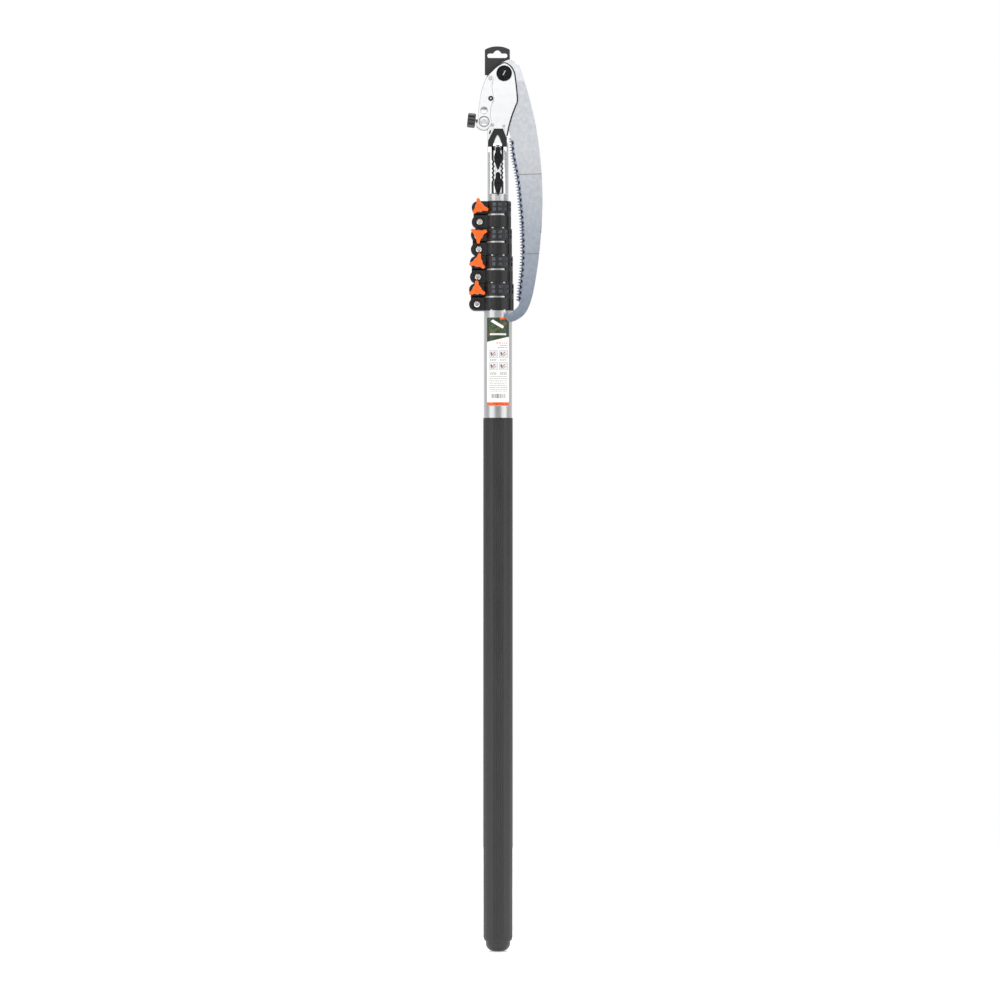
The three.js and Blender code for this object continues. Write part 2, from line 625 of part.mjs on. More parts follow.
// Black spacer between the cheeks, with two legs that run down the channel's edges.
function cheekSpacer() {
  const [front, back] = [frontCheek[1] + RUN_GAP, rearCheek[0] - RUN_GAP];
  const peak = shapeOf(points([
    [-12.4, 1322.6], [-12.4, 1316], [-16, 1311], [-16, 1284.6], [-9.2, 1284.6], [-4, 1298.6], [-0.6, 1304.6],
    [2.8, 1298.6], [7.8, 1284.6], [14.2, 1284.6], [14.2, 1300.2], [12, 1300.8], [11.6, 1322.6],
  ]));
  const legs = cut(
    sheetPiece(shapeOf(channelOutline(FIT_GAP)), back - SPACER_LEG_DEPTH, -troughBore / 2),
    sheetPiece(shapeOf(channelOutline(2.3)), -60, 0),
    block([-30, -60, TROUGH_BOTTOM - 9], [30, 0, TROUGH_BOTTOM]),
  );
  const legRoom = disc(saddleSeat, TROUGH_BOTTOM - 1, HEAD_DATUM + 4.5);
  const legSkin = disc(saddleSeat + 1.4, TROUGH_BOTTOM - 2, 1284.7);
  const step = block([-30, back - SPACER_LEG_DEPTH, 1279.6], [30, 1.1 - troughFloor, 1289.8]);
  const thinLegs = legs.intersect(join(legSkin, step));
  const piece = cut(
    join(sheetPiece(peak, front, back), thinLegs), legRoom,
    ...RIVETS.map(([x, z]) => barY(RIVET_RADIUS + RUN_GAP, x, z, -60, 0)),
    ...SADDLE_BOLT_HEIGHTS.map((z) => sheetPiece(shapeOf(saddleOutline(z, FIT_GAP)), -60, 0)),
  );
  return part("cheek_spacer", BLACK_NYLON, piece);
}

// Nylon friction plate beside the blade, standing proud of the cheek round its crown.
function liner(name, [front, back]) {
  const outline = points([
    ...offsetChain(CHEEK_CROWN, LINER_OVERHANG),
    [12.6, 1301.6], [12.6, 1324], [-6.4, 1324], [-6.4, 1376], [-9.4, 1386], [-18.4, 1396.4],
  ]);
  const plate = cut(
    sheetPiece(shapeOf(outline), front, back),
    barY(PIVOT_BUSH_RADIUS + RUN_GAP, PIVOT.x, PIVOT.z, -60, 0),
  );
  return part(name, BLACK_NYLON, plate);
}

const SPINE = [
  [33.4, 1415], [40.8, 1393.6], [52.8, 1352], [62.4, 1307.2], [69.1, 1249.6], [71, 1195], [67.5, 1131.8],
  [60.9, 1078], [53.2, 1041], [43.4, 1019.5], [30, 1008.6], [18.4, 1004.8],
];
const TOOTH_LINE = [
  [16.6, 1297.1], [19.2, 1270.7], [26.7, 1230.2], [30.6, 1192], [33.3, 1160.5], [34.6, 1121.6],
  [33.9, 1096.2], [31, 1067.5], [28.2, 1041],
];

// Teeth along the hollow edge, from the heel to the hook.
function toothChain() {
  const edge = new THREE.SplineCurve(points(TOOTH_LINE));
  const count = Math.round(edge.getLength() / TOOTH_PITCH);
  const chain = [];
  for (let i = 0; i < count; i++) {
    const between = edge.getPointAt((i + 0.5) / count);
    const along = edge.getTangentAt((i + 0.5) / count);
    const inwards = new THREE.Vector2(-along.y, along.x).multiplyScalar(TOOTH_DEPTH);
    chain.push(edge.getPointAt(i / count), between.add(inwards));
  }
  chain.push(edge.getPointAt(1));
  return chain;
}

function tangPoint(angle, radius) {
  const a = radians(angle);
  return new THREE.Vector2(PIVOT.x + radius * Math.cos(a), PIVOT.z + radius * Math.sin(a));
}

// The tang's rim carries one notch for the folded blade and one for the open blade.
function blade() {
  const towardsPin = Math.atan2(NOSE_PIN.z - PIVOT.z, NOSE_PIN.x - PIVOT.x);
  const foldedNotch = THREE.MathUtils.radToDeg(towardsPin) + 360;
  const rim = [
    [236, 19], [222, 23.4], [foldedNotch + 7, 25.4], [foldedNotch, 21.2], [foldedNotch - 7, 25.2],
    [186, 24], [172, 17.6], [150, 15.4], [120, 16], [96, 18.4], [84, 20.4], [74, 22.8], [62, 24.9],
    [52, 25.6], [45.5, 25.2], [foldedNotch - BLADE_OPEN_ANGLE, 22.4], [36, 25.2],
  ];
  const hook = smooth([[18.4, 1004.8], [14.6, 1007.8], [13.1, 1012.6], [13, 1017.6], [13.6, 1021]], 8);
  const throat = smooth([[17.2, 1017.2], [22.7, 1021.6], [30.6, 1028.6], [33.6, 1034], [33.6, 1038.4]], 10);
  const outline = [
    ...smooth(SPINE, 36), ...hook.slice(1), ...throat,
    ...toothChain().reverse(),
    new THREE.Vector2(9.6, 1340),
    ...rim.map(([angle, radius]) => tangPoint(angle, radius)),
  ];
  const plate = cut(
    sheetPiece(shapeOf(outline), bladeFrontY, bladeBackY),
    barY(PIVOT_BUSH_RADIUS + RUN_GAP, PIVOT.x, PIVOT.z, -60, 0),
  );
  return part("saw_blade", BLADE_STEEL, plate);
}

function pivotGroup() {
  const group = new THREE.Group();
  group.position.set(PIVOT.x, 0, PIVOT.z);
  const nutBack = frontCheek[0] - FIT_GAP;
  const dishFloor = nutBack - 2.4;
  const flange = join(
    cut(
      barY(PIVOT_NUT_FLANGE_RADIUS, 0, 0, nutBack - 3.6, nutBack, 32),
      barY(PIVOT_NUT_DISH_RADIUS, 0, 0, nutBack - 9, dishFloor, 32),
    ),
    hexagonY(PIVOT_NUT_ACROSS_FLATS, 0, 0, nutBack - PIVOT_NUT_HEIGHT, nutBack),
  );
  const tabBack = rearCheek[1] + FIT_GAP + TAB_THICKNESS;
  const headFront = tabBack + FIT_GAP;
  const boltEnd = nutBack - PIVOT_NUT_HEIGHT - 1;
  const bolt = join(
    barY(PIVOT_BOLT_RADIUS, 0, 0, boltEnd, headFront + 0.5),
    barY(PIVOT_HEAD_RADIUS, 0, 0, headFront, headFront + 2.4, 32),
    barY(PIVOT_HEAD_RADIUS - 2, 0, 0, headFront, headFront + 3.8, 32),
  );
  const slot = block([-0.7, boltEnd - 1, -5], [0.7, boltEnd + 1.1, 5]);
  group.add(
    part("pivot_nut", BLACK_STEEL, cut(flange, barY(PIVOT_BOLT_RADIUS + RUN_GAP, 0, 0, -60, 0))),
    part("pivot_bolt", ZINC, cut(bolt, slot)),
    part("pivot_bush", ZINC, cut(
      barY(PIVOT_BUSH_RADIUS, 0, 0, frontCheek[1] + RUN_GAP, rearCheek[0] - RUN_GAP),
      barY(PIVOT_BOLT_RADIUS + RUN_GAP, 0, 0, -60, 0),
    )),
  );
  return group;
}

const LEVER_OUTLINE = [
  [-14.4, 1397.6], [-17.8, 1395.4], [-21.4, 1388], [-25.3, 1377.6], [-28.3, 1362.2], [-31.2, 1341.9],
  [-32.4, 1326], [-34.3, 1318], [-30.4, 1313.3], [-24.8, 1311], [-18.7, 1311.3], [-13.6, 1315.4],
  [-10.4, 1322], [-12, 1337], [-10.2, 1351.5], [-6.4, 1359.8], [-8.8, 1373], [-9.2, 1383],
  [-7.5, 1391.4], [-9.6, 1396.6],
];

function leverOutline() {
  const loop = [...LEVER_OUTLINE, LEVER_OUTLINE[0]];
  return smooth(loop, 34).slice(0, -1);
}

const thumbAxis = new THREE.Vector3(-Math.cos(radians(THUMB_TILT)), 0, Math.sin(radians(THUMB_TILT)));
const thumbTurn = new THREE.Quaternion().setFromUnitVectors(new THREE.Vector3(0, 0, 1), thumbAxis);
const thumbY = (frontCheek[1] + rearCheek[0]) / 2;

// A round bar on the thumb screw's axis, measured outwards from the barrel nut.
function thumbBar(radius, from, to, steps = 24) {
  const bar = new THREE.CylinderGeometry(radius, radius, to - from, steps).rotateX(Math.PI / 2);
  bar.translate(0, 0, (from + to) / 2).applyQuaternion(thumbTurn);
  return solid(bar.translate(BARREL_NUT.x, thumbY, BARREL_NUT.z));
}

// A folded steel channel: one flank outside each cheek, joined by a web at the left.
function lockLever() {
  const flank = (planes) => sheetPiece(shapeOf(leverOutline()), ...planes);
  const web = shapeOf(points([[-32.9, 1319], [-31, 1343], [-29.4, 1343], [-31.3, 1319]]));
  const body = join(flank(leverFront), flank(leverRear), sheetPiece(web, leverFront[0], leverRear[1]));
  return part("lock_lever", CHROME, cut(
    body,
    barY(LEVER_PIN_RADIUS + RUN_GAP, LEVER_PIVOT.x, LEVER_PIVOT.z, -60, 0),
    barY(NOSE_PIN_RADIUS + RUN_GAP, NOSE_PIN.x, NOSE_PIN.z, -60, 0),
    barY(BARREL_RADIUS + RUN_GAP, BARREL_NUT.x, BARREL_NUT.z, -60, 0),
    barY(BARREL_HEAD_RADIUS + RUN_GAP, BARREL_NUT.x, BARREL_NUT.z, -60, leverFront[1] + 0.1, 32),
    thumbBar(THUMB_STEM_RADIUS + 0.4, 4, 14),
  ));
}

function leverPieces() {
  const pivotBar = (radius, front, back) => barY(radius, LEVER_PIVOT.x, LEVER_PIVOT.z, front, back);
  const pin = join(
    pivotBar(LEVER_PIN_RADIUS, leverFront[0] - 1, leverRear[1] + 1),
    pivotBar(LEVER_PIN_HEAD_RADIUS, leverFront[0] - 1.2, leverFront[0] - RUN_GAP),
    pivotBar(LEVER_PIN_HEAD_RADIUS, leverRear[1] + RUN_GAP, leverRear[1] + 1.2),
  );
  // The nose pin reaches the front cheek's notch and stops short of the blade's tang.
  const noseBar = (radius, front, back) => barY(radius, NOSE_PIN.x, NOSE_PIN.z, front, back);
  const nose = join(
    noseBar(NOSE_PIN_RADIUS, leverFront[0] - 0.6, frontCheek[1] - 0.1),
    noseBar(NOSE_PIN_HEAD_RADIUS, leverFront[0] - 0.8, leverFront[0] - RUN_GAP),
  );
  const face = leverFront[0] + 0.3;
  const barrel = cut(
    join(
      barY(BARREL_RADIUS, BARREL_NUT.x, BARREL_NUT.z, face, leverRear[1], 24),
      barY(BARREL_HEAD_RADIUS, BARREL_NUT.x, BARREL_NUT.z, face, leverFront[1] - RUN_GAP, 32),
    ),
    thumbBar(THUMB_STEM_RADIUS + 0.25, -10, 14),
  );
  const dimple = pivotBar(1.3, -60, leverFront[0] + 1);
  return [
    part("lever_pin", ZINC, cut(pin, dimple)),
    part("nose_pin", ZINC, nose),
    part("barrel_nut", ZINC, barrel),
  ];
}

// The thumb screw: a lobed black head on a threaded stem, with a loose washer under the head.
function thumbScrew() {
  const steps = THUMB_LOBES * 3;
  const outline = [];
  for (let i = 0; i < steps; i++) {
    const angle = (i / steps) * 2 * Math.PI;
    const radius = THUMB_KNOB_RADIUS - 1.1 + 0.55 * (1 + Math.cos(THUMB_LOBES * angle));
    outline.push(new THREE.Vector2(radius * Math.cos(angle), radius * Math.sin(angle)));
  }
  const bevel = 2.2;
  const head = new THREE.ExtrudeGeometry(shapeOf(outline), {
    depth: THUMB_KNOB_LENGTH - 2 * bevel,
    bevelThickness: bevel, bevelSize: bevel, bevelOffset: -bevel, bevelSegments: 1,
  });
  head.translate(0, 0, THUMB_KNOB_START + bevel).applyQuaternion(thumbTurn);
  head.translate(BARREL_NUT.x, thumbY, BARREL_NUT.z);
  const washer = cut(
    thumbBar(THUMB_WASHER_RADIUS, THUMB_KNOB_START - FIT_GAP - 1, THUMB_KNOB_START - FIT_GAP),
    thumbBar(THUMB_STEM_RADIUS + FIT_GAP, 5, 20),
  );
  const bore = thumbBar(THUMB_STEM_RADIUS + FIT_GAP, 0, THUMB_KNOB_START + 8);
  return [
    part("thumb_knob", BLACK_NYLON, cut(solid(head), bore)),
    part("thumb_stem", ZINC, thumbBar(THUMB_STEM_RADIUS, -THUMB_TIP, THUMB_KNOB_START + 7.6)),
    part("thumb_washer", ZINC, washer),
  ];
}

// A rounded top, widest at the bolt, running down to a point; grown outwards where something fits round it.
function saddleOutline(boltZ, grow) {
  const side = [[2.4, -15.6], [5, -7.6], [6.4, -1], [5.6, 4.4], [3.9, 9], [3.9, 13.6], [2.3, 16.8]];
  const right = side.map(([x, z]) => [x + grow, z]);
  const left = side.map(([x, z]) => [-x - grow, z]).reverse();
  const loop = [[0, -20.6 - 2 * grow], ...right, [0, 18 + grow], ...left, [0, -20.6 - 2 * grow]];
  return smooth(loop.map(([x, z]) => [x, z + boltZ]), 28).slice(0, -1);
}

// Black cast saddle on each clamp bolt.
function saddle(index) {
  const z = SADDLE_BOLT_HEIGHTS[index];
  const blank = sheetPiece(shapeOf(saddleOutline(z, 0)), -60, 0);
  const crown = disc(saddleSeat + SADDLE_CROWN, TROUGH_BOTTOM - 20, HEAD_DATUM + 10);
  const boss = barY(SADDLE_BOSS_RADIUS, 0, z, -saddleSeat - SADDLE_BOSS, -saddleSeat - 1);
  const body = cut(
    blank.intersect(crown).add(boss),
    disc(saddleSeat, TROUGH_BOTTOM - 30, HEAD_DATUM + 20),
    barY(SADDLE_BOLT_RADIUS + FIT_GAP, 0, z, -60, 0),
  );
  return part(`saddle_clamp_${index + 1}`, BLACK_STEEL, body);
}

function saddleBolt(index) {
  const z = SADDLE_BOLT_HEIGHTS[index];
  const face = -(saddleSeat + SADDLE_BOSS + FIT_GAP);
  const bolt = join(
    barY(5, 0, z, face - 1.4, face),
    barY(4, 0, z, face - 2.4, face),
    barY(SADDLE_BOLT_RADIUS, 0, z, face - 1, -tubeBore(SECTIONS) + 5.4),
  );
  const socket = hexagonY(SADDLE_SOCKET, 0, z, -60, face - 0.8);
  return part(`saddle_bolt_${index + 1}`, BLACK_STEEL, cut(bolt, socket));
}

// A threaded bar inside the tube that both saddle bolts draw against.
function nutBar() {
  const bore = tubeBore(SECTIONS) - FIT_GAP;
  const [low, high] = [SADDLE_BOLT_HEIGHTS[0] - 8, SADDLE_BOLT_HEIGHTS[1] + 8];
  const bar = block([-7, -bore - 2, low], [7, -bore + 4.4, high]);
  const blank = bar.intersect(disc(bore, low - 1, high + 1));
  const holes = SADDLE_BOLT_HEIGHTS.map((z) => barY(SADDLE_BOLT_RADIUS + FIT_GAP, 0, z, -60, 0));
  return part("saddle_nut_bar", ZINC, cut(blank, ...holes));
}

function rivet([x, z], index) {
  return part(`cheek_rivet_${index + 1}`, ZINC, barY(RIVET_RADIUS, x, z, frontCheek[0], rearCheek[1]));
}

// The retail hanger: an arched plate with a slot for a hook, held under the pivot bolt's head.
function hangTab() {
  const middle = -1.05;
  const half = 20;
  const shape = new THREE.Shape();
  shape.moveTo(middle - half, 1399.4);
  shape.lineTo(-4, 1399.4);
  shape.lineTo(-4, 1388);
  shape.lineTo(21.6, 1388);
  shape.lineTo(21.6, 1399.4);
  shape.lineTo(middle + half, 1408);
  shape.lineTo(middle + half, 1438.4);
  shape.quadraticCurveTo(middle + half, 1440.2, middle + half - 1.8, 1441.2);
  shape.quadraticCurveTo(middle + 10, TAB_TOP, middle, TAB_TOP);
  shape.quadraticCurveTo(middle - 10, TAB_TOP, middle - half + 1.8, 1441.2);
  shape.quadraticCurveTo(middle - half, 1440.2, middle - half, 1438.4);
  shape.closePath();
  const [slotLow, slotHigh, slotHalf] = [1426.9, 1433.9, 16];
  const radius = (slotHigh - slotLow) / 2;
  const slot = new THREE.Path();
  slot.absarc(middle + slotHalf - radius, slotLow + radius, radius, -Math.PI / 2, Math.PI / 2, false);
  slot.lineTo(middle + 6.6, slotHigh);
  slot.quadraticCurveTo(middle + 3.6, 1438.9, middle, 1438.9);
  slot.quadraticCurveTo(middle - 3.6, 1438.9, middle - 6.6, slotHigh);
  slot.absarc(middle - slotHalf + radius, slotLow + radius, radius, Math.PI / 2, 1.5 * Math.PI, false);
  slot.closePath();
  shape.holes.push(slot);
  const front = rearCheek[1] + FIT_GAP;
  const plate = sheetPiece(shape, front, front + TAB_THICKNESS);
  const hole = barY(PIVOT_BOLT_RADIUS + FIT_GAP, PIVOT.x, PIVOT.z, -60, 0);
  return part("hang_tab", TAB_PLASTIC, cut(plate, hole));
}

// ---- assembly ----------------------------------------------------------------------------------------

const poleSaw = new THREE.Group();
poleSaw.name = "telescoping_pole_saw";

const pole = new THREE.Group();
for (let n = 1; n <= SECTIONS; n++) pole.add(tube(n));
for (let n = 2; n <= SECTIONS; n++) pole.add(guidePlug(n));
pole.add(endCap(), gripSleeve(), label());

const clamps = new THREE.Group();
for (let n = 1; n < SECTIONS; n++) clamps.add(clamp(n));

const sawHead = new THREE.Group();
sawHead.position.z = headLift;
sawHead.add(headBracket(), frontCheekPiece(), cheekSpacer());
sawHead.add(liner("front_liner", frontLiner), liner("rear_liner", rearLiner));
sawHead.add(blade(), pivotGroup(), lockLever(), ...leverPieces(), ...thumbScrew());
sawHead.add(...SADDLE_BOLT_HEIGHTS.flatMap((_, i) => [saddle(i), saddleBolt(i)]), nutBar());
sawHead.add(...RIVETS.map(rivet), hangTab());

poleSaw.add(pole, clamps, sawHead);

export default poleSaw;
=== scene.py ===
"""The looks of a telescoping pole saw: tubes, clamp collars and a folding saw head on a white stage."""
import math
import random

import bmesh
import bpy
from bpy.props import FloatProperty, FloatVectorProperty, IntProperty, PointerProperty
from mathutils import Matrix, Vector
from mathutils.geometry import tessellate_polygon


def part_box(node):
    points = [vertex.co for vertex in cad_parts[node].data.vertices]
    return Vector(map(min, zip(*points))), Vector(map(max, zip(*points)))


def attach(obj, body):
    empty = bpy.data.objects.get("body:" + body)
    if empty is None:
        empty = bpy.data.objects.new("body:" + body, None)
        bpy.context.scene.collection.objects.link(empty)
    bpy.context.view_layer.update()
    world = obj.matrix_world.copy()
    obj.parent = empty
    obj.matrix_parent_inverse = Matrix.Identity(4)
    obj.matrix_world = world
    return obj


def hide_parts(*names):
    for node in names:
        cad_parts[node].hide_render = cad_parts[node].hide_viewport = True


bl_info = {
    "name": "Telescoping Pole Saw",
    "version": (1, 0, 0),
    "blender": (4, 5, 0),
    "location": "View3D > Sidebar > Pole Saw",
    "description": "Builds the detailed pieces of a telescoping pole saw around its packed model",
    "category": "Add Mesh",
}

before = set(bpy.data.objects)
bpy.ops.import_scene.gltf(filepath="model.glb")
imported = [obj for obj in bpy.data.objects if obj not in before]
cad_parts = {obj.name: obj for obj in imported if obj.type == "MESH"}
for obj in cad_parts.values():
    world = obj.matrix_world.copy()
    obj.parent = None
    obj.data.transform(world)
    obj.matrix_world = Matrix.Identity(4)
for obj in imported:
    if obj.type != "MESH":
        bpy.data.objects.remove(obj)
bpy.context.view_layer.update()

# All modelling is in millimetres; settle() turns a finished mesh to metres.
MM = 0.001
SECTIONS = 5
SMOOTH_ANGLE = math.radians(32)
ROUND = 96


def linear(hex_colour, alpha=1.0):
    """An sRGB colour such as 0xF47A2E as linear RGBA."""
    channels = [(hex_colour >> shift & 255) / 255 for shift in (16, 8, 0)]
    return (*[c / 12.92 if c <= 0.04045 else ((c + 0.055) / 1.055) ** 2.4 for c in channels], alpha)


def span(node):
    """A CAD node's lowest and highest corner, in millimetres."""
    low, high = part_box(node)
    return low / MM, high / MM


def middle(node):
    low, high = span(node)
    return (low + high) / 2


def depths(node):
    """A CAD node's front and back, in millimetres."""
    low, high = span(node)
    return low.y, high.y


# ---- sizes and colours that a user would change ------------------------------------------------------


class PoleSawPole(bpy.types.PropertyGroup):
    flute_depth: FloatProperty(
        name="Flute depth", description="Depth of the grip's grooves, in mm", default=0.65)
    flutes: IntProperty(
        name="Flutes", description="Grooves in each ribbed band of the grip", default=5)
    band_half_angle: FloatProperty(
        name="Band half angle", description="Half the width of a ribbed band",
        default=math.radians(22), subtype="ANGLE")
    pocket_depth: FloatProperty(
        name="Pocket depth", description="Depth of the collars' pockets, in mm", default=2.0)
    pocket_width: FloatProperty(
        name="Pocket width", description="Width of the collars' pockets, in mm", default=7.2)
    pocket_step: FloatProperty(
        name="Pocket step", description="Angle between pockets",
        default=math.radians(29.8), subtype="ANGLE")


class PoleSawHead(bpy.types.PropertyGroup):
    tooth_depth: FloatProperty(
        name="Tooth depth", description="From tip to gullet, in mm", default=4.6)
    tooth_pitch: FloatProperty(
        name="Tooth pitch", description="Between tooth tips, in mm", default=4.6)
    tooth_bevel: FloatProperty(
        name="Tooth bevel", description="Width of the teeth's ground facets, in mm", default=1.1)
    edge_round: FloatProperty(
        name="Edge rounding", description="On the sheet steel's edges, in mm", default=0.7)


class PoleSawColours(bpy.types.PropertyGroup):
    def colour(name, value):
        return FloatVectorProperty(
            name=name, description=name, default=linear(value), size=4, subtype="COLOR")

    aluminium: colour("Anodised aluminium", 0xD2D3D4)
    chrome: colour("Chrome plate", 0xF4F5F6)
    blade: colour("Blade steel", 0xE2E6EB)
    nylon: colour("Black nylon", 0x161618)
    vinyl: colour("Grip vinyl", 0x232325)
    orange: colour("Orange nylon", 0xF26A14)
    tab: colour("Hanger plastic", 0x303032)


# ---- mesh helpers ------------------------------------------------------------------------------------


def spline(points, steps):
    """Points along a Catmull-Rom curve through the given points."""
    made = []
    last = len(points) - 1
    for step in range(steps + 1):
        place = last * step / steps
        i = min(int(place), last)
        t = place - i
        p = [Vector(points[min(max(k, 0), last)]) for k in (i - 1, i, i + 1, i + 2)]
        v0, v1 = (p[2] - p[0]) / 2, (p[3] - p[1]) / 2
        cubic = 2 * p[1] - 2 * p[2] + v0 + v1
        square = -3 * p[1] + 3 * p[2] - 2 * v0 - v1
        made.append(cubic * t**3 + square * t**2 + v0 * t + p[1])
    return made


def circle(radius, x=0.0, z=0.0, steps=48, turn=0.0):
    return [Vector((x + radius * math.cos(turn + 2 * math.pi * i / steps),
                    z + radius * math.sin(turn + 2 * math.pi * i / steps))) for i in range(steps)]


def hexagon(across_flats, x=0.0, z=0.0):
    return circle(across_flats / math.sqrt(3), x, z, 6, math.pi / 6)


def rim_point(x, z, radius, degrees):
    """The point at an angle on a circle round x, z."""
    a = math.radians(degrees)
    return Vector((x + radius * math.cos(a), z + radius * math.sin(a)))


def arc(x, z, radius, first, last, steps):
    """Points on an arc from one angle to another, in degrees."""
    return [rim_point(x, z, radius, first + (last - first) * i / steps) for i in range(steps + 1)]


def signed_area(loop):
    return sum(a.x * b.y - b.x * a.y for a, b in zip(loop, loop[1:] + loop[:1])) / 2


def inset_loop(loop, amounts):
    """The loop moved to its left-hand side by an amount at each point."""
    sharpest, longest = 0.3, 2.0
    made = []
    for i, point in enumerate(loop):
        before = (point - loop[i - 1]).normalized()
        after = (loop[(i + 1) % len(loop)] - point).normalized()
        normals = [Vector((-d.y, d.x)) for d in (before, after)]
        bisector = normals[0] + normals[1]
        if bisector.length < 1e-6:
            bisector = normals[0]
        bisector.normalize()
        stretch = min(1 / max(bisector.dot(normals[0]), sharpest), longest)
        made.append(point + bisector * amounts[i] * stretch)
    return made


def rounded(front, back, radius, steps=3):
    """An edge profile of [inset, depth] pairs that is rounded at both faces."""
    angles = [math.pi / 2 * i / steps for i in range(steps + 1)]
    near = [(radius * (1 - math.sin(a)), front + radius * (1 - math.cos(a))) for a in angles]
    far = [(inset, front + back - depth) for inset, depth in reversed(near)]
    return near + far


def new_object(name, bm):
    mesh = bpy.data.meshes.new(name)
    bm.to_mesh(mesh)
    bm.free()
    made = bpy.data.objects.new(name, mesh)
    bpy.context.scene.collection.objects.link(made)
    return made


def loft(name, contours, profile, weights=None, upright=False):
    """A plate from x, z contours (the first is the outside, the others are holes) with an edge profile.

    Each profile pair is [inset, depth]. Depth runs along Y, or along Z for an upright piece, whose
    contours are x, y. The weights scale the inset at each point of the outside.
    """
    bm = bmesh.new()
    loops = []
    for number, contour in enumerate(contours):
        loop = [Vector(p) for p in contour]
        if (signed_area(loop) < 0) == (number == 0):
            loop.reverse()
        loops.append(loop)
    ends = {0: [], len(profile) - 1: []}
    for number, loop in enumerate(loops):
        share = weights if weights and number == 0 else [1.0] * len(loop)
        rings = []
        for inset, depth in profile:
            flat = inset_loop(loop, [inset * w for w in share])
            places = [(p.x, p.y, depth) if upright else (p.x, depth, p.y) for p in flat]
            rings.append([bm.verts.new(place) for place in places])
        for lower, upper in zip(rings, rings[1:]):
            for i in range(len(loop)):
                j = (i + 1) % len(loop)
                bm.faces.new((lower[i], lower[j], upper[j], upper[i])).smooth = True
        for end in ends:
            ends[end].append((rings[end], inset_loop(loop, [profile[end][0] * w for w in share])))
    for parts in ends.values():
        corners = [v for ring, _ in parts for v in ring]
        flat = [[p.to_3d() for p in loop] for _, loop in parts]
        for triangle in tessellate_polygon(flat):
            if len(set(triangle)) == 3:
                bm.faces.new([corners[i] for i in triangle])
    bmesh.ops.recalc_face_normals(bm, faces=bm.faces)
    return new_object(name, bm)


def turned(name, profile, steps=ROUND, axis="Z", centre=(0, 0, 0)):
    """A turned piece from [radius, height] pairs that start and end on the axis, or close on themselves."""
    bm = bmesh.new()
    closed = profile[0][0] > 0
    rings = []
    for radius, height in profile:
        if radius == 0:
            rings.append([bm.verts.new((0, 0, height))])
            continue
        angles = [2 * math.pi * i / steps for i in range(steps)]
        rings.append([bm.verts.new((radius * math.cos(a), radius * math.sin(a), height)) for a in angles])
    pairs = list(zip(rings, rings[1:])) + ([(rings[-1], rings[0])] if closed else [])
    for lower, upper in pairs:
        for i in range(steps):
            j = (i + 1) % steps
            below, above = [lower[k % len(lower)] for k in (i, j)], [upper[k % len(upper)] for k in (j, i)]
            bm.faces.new(list(dict.fromkeys(below + above))).smooth = True
    if axis == "Y":
        bmesh.ops.rotate(bm, verts=bm.verts, matrix=Matrix.Rotation(-math.pi / 2, 3, "X"))
    bmesh.ops.translate(bm, verts=bm.verts, vec=Vector(centre))
    bmesh.ops.recalc_face_normals(bm, faces=bm.faces)
    return new_object(name, bm)


def cylinder(name, radius, low, high, steps=ROUND):
    """A plain cylinder along Z."""
    return turned(name, [(0, low), (radius, low), (radius, high), (0, high)], steps)


def turned_y(name, profile, x=0.0, z=0.0, steps=64):
    """A turned piece along Y; its profile holds [radius, depth] pairs."""
    return turned(name, profile, steps, "Y", (x, 0, z))


def prism(name, contour, near, far):
    """A piece with straight sides along Y."""
    return loft(name, [contour], [(0, near), (0, far)])


def block(name, low, high):
    """A box between two corners."""
    left, right, foot, top = low[0], high[0], low[2], high[2]
    corners = [Vector(corner) for corner in ((left, foot), (right, foot), (right, top), (left, top))]
    return prism(name, corners, low[1], high[1])


def front_arc(name, inner, outer, half_angle, low, high, edge=0.2):
    """Part of a ring round the pole, centred on the front."""
    steps = 28
    contour = arc(0, 0, outer, -90 - half_angle, -90 + half_angle, steps)
    contour += arc(0, 0, inner, -90 + half_angle, -90 - half_angle, steps)
    return loft(name, [contour], rounded(low, high, edge, 2), upright=True)


def radial_block(angle, width, inner, outer, low, high):
    """A block that points out of the pole at an angle from the front, in degrees."""
    made = block("radial", (-width / 2, -outer, low), (width / 2, -inner, high))
    made.data.transform(Matrix.Rotation(math.radians(angle), 4, "Z"))
    return made


def baked(piece):
    """The piece's mesh with its modifiers applied."""
    graph = bpy.context.evaluated_depsgraph_get()
    mesh = bpy.data.meshes.new_from_object(piece.evaluated_get(graph))
    piece.modifiers.clear()
    old = piece.data
    piece.data = mesh
    bpy.data.meshes.remove(old)
    return piece


def combine(piece, others, operation):
    """Joins the others to the piece, cuts them away or keeps what they share."""
    for other in others:
        modifier = piece.modifiers.new(operation, "BOOLEAN")
        modifier.operation = operation
        modifier.solver = "EXACT"
        modifier.object = other
        baked(piece)
        bpy.data.objects.remove(other)
    return piece


def gather(name, pieces):
    """Several separate meshes as one object, without joining their surfaces."""
    bm = bmesh.new()
    for piece in pieces:
        bm.from_mesh(piece.data)
        bpy.data.objects.remove(piece)
    return new_object(name, bm)


def placed(piece, x, z, degrees=0.0):
    """Turns a piece about Y and moves it to x, z."""
    piece.data.transform(Matrix.Translation((x, 0, z)) @ Matrix.Rotation(math.radians(degrees), 4, "Y"))
    return piece


def paint(piece, materials, chosen):
    """Gives the faces that the test picks the second material, and the others the first."""
    piece.data.materials.clear()
    for material in materials:
        piece.data.materials.append(material)
    for face in piece.data.polygons:
        face.material_index = int(chosen(face))


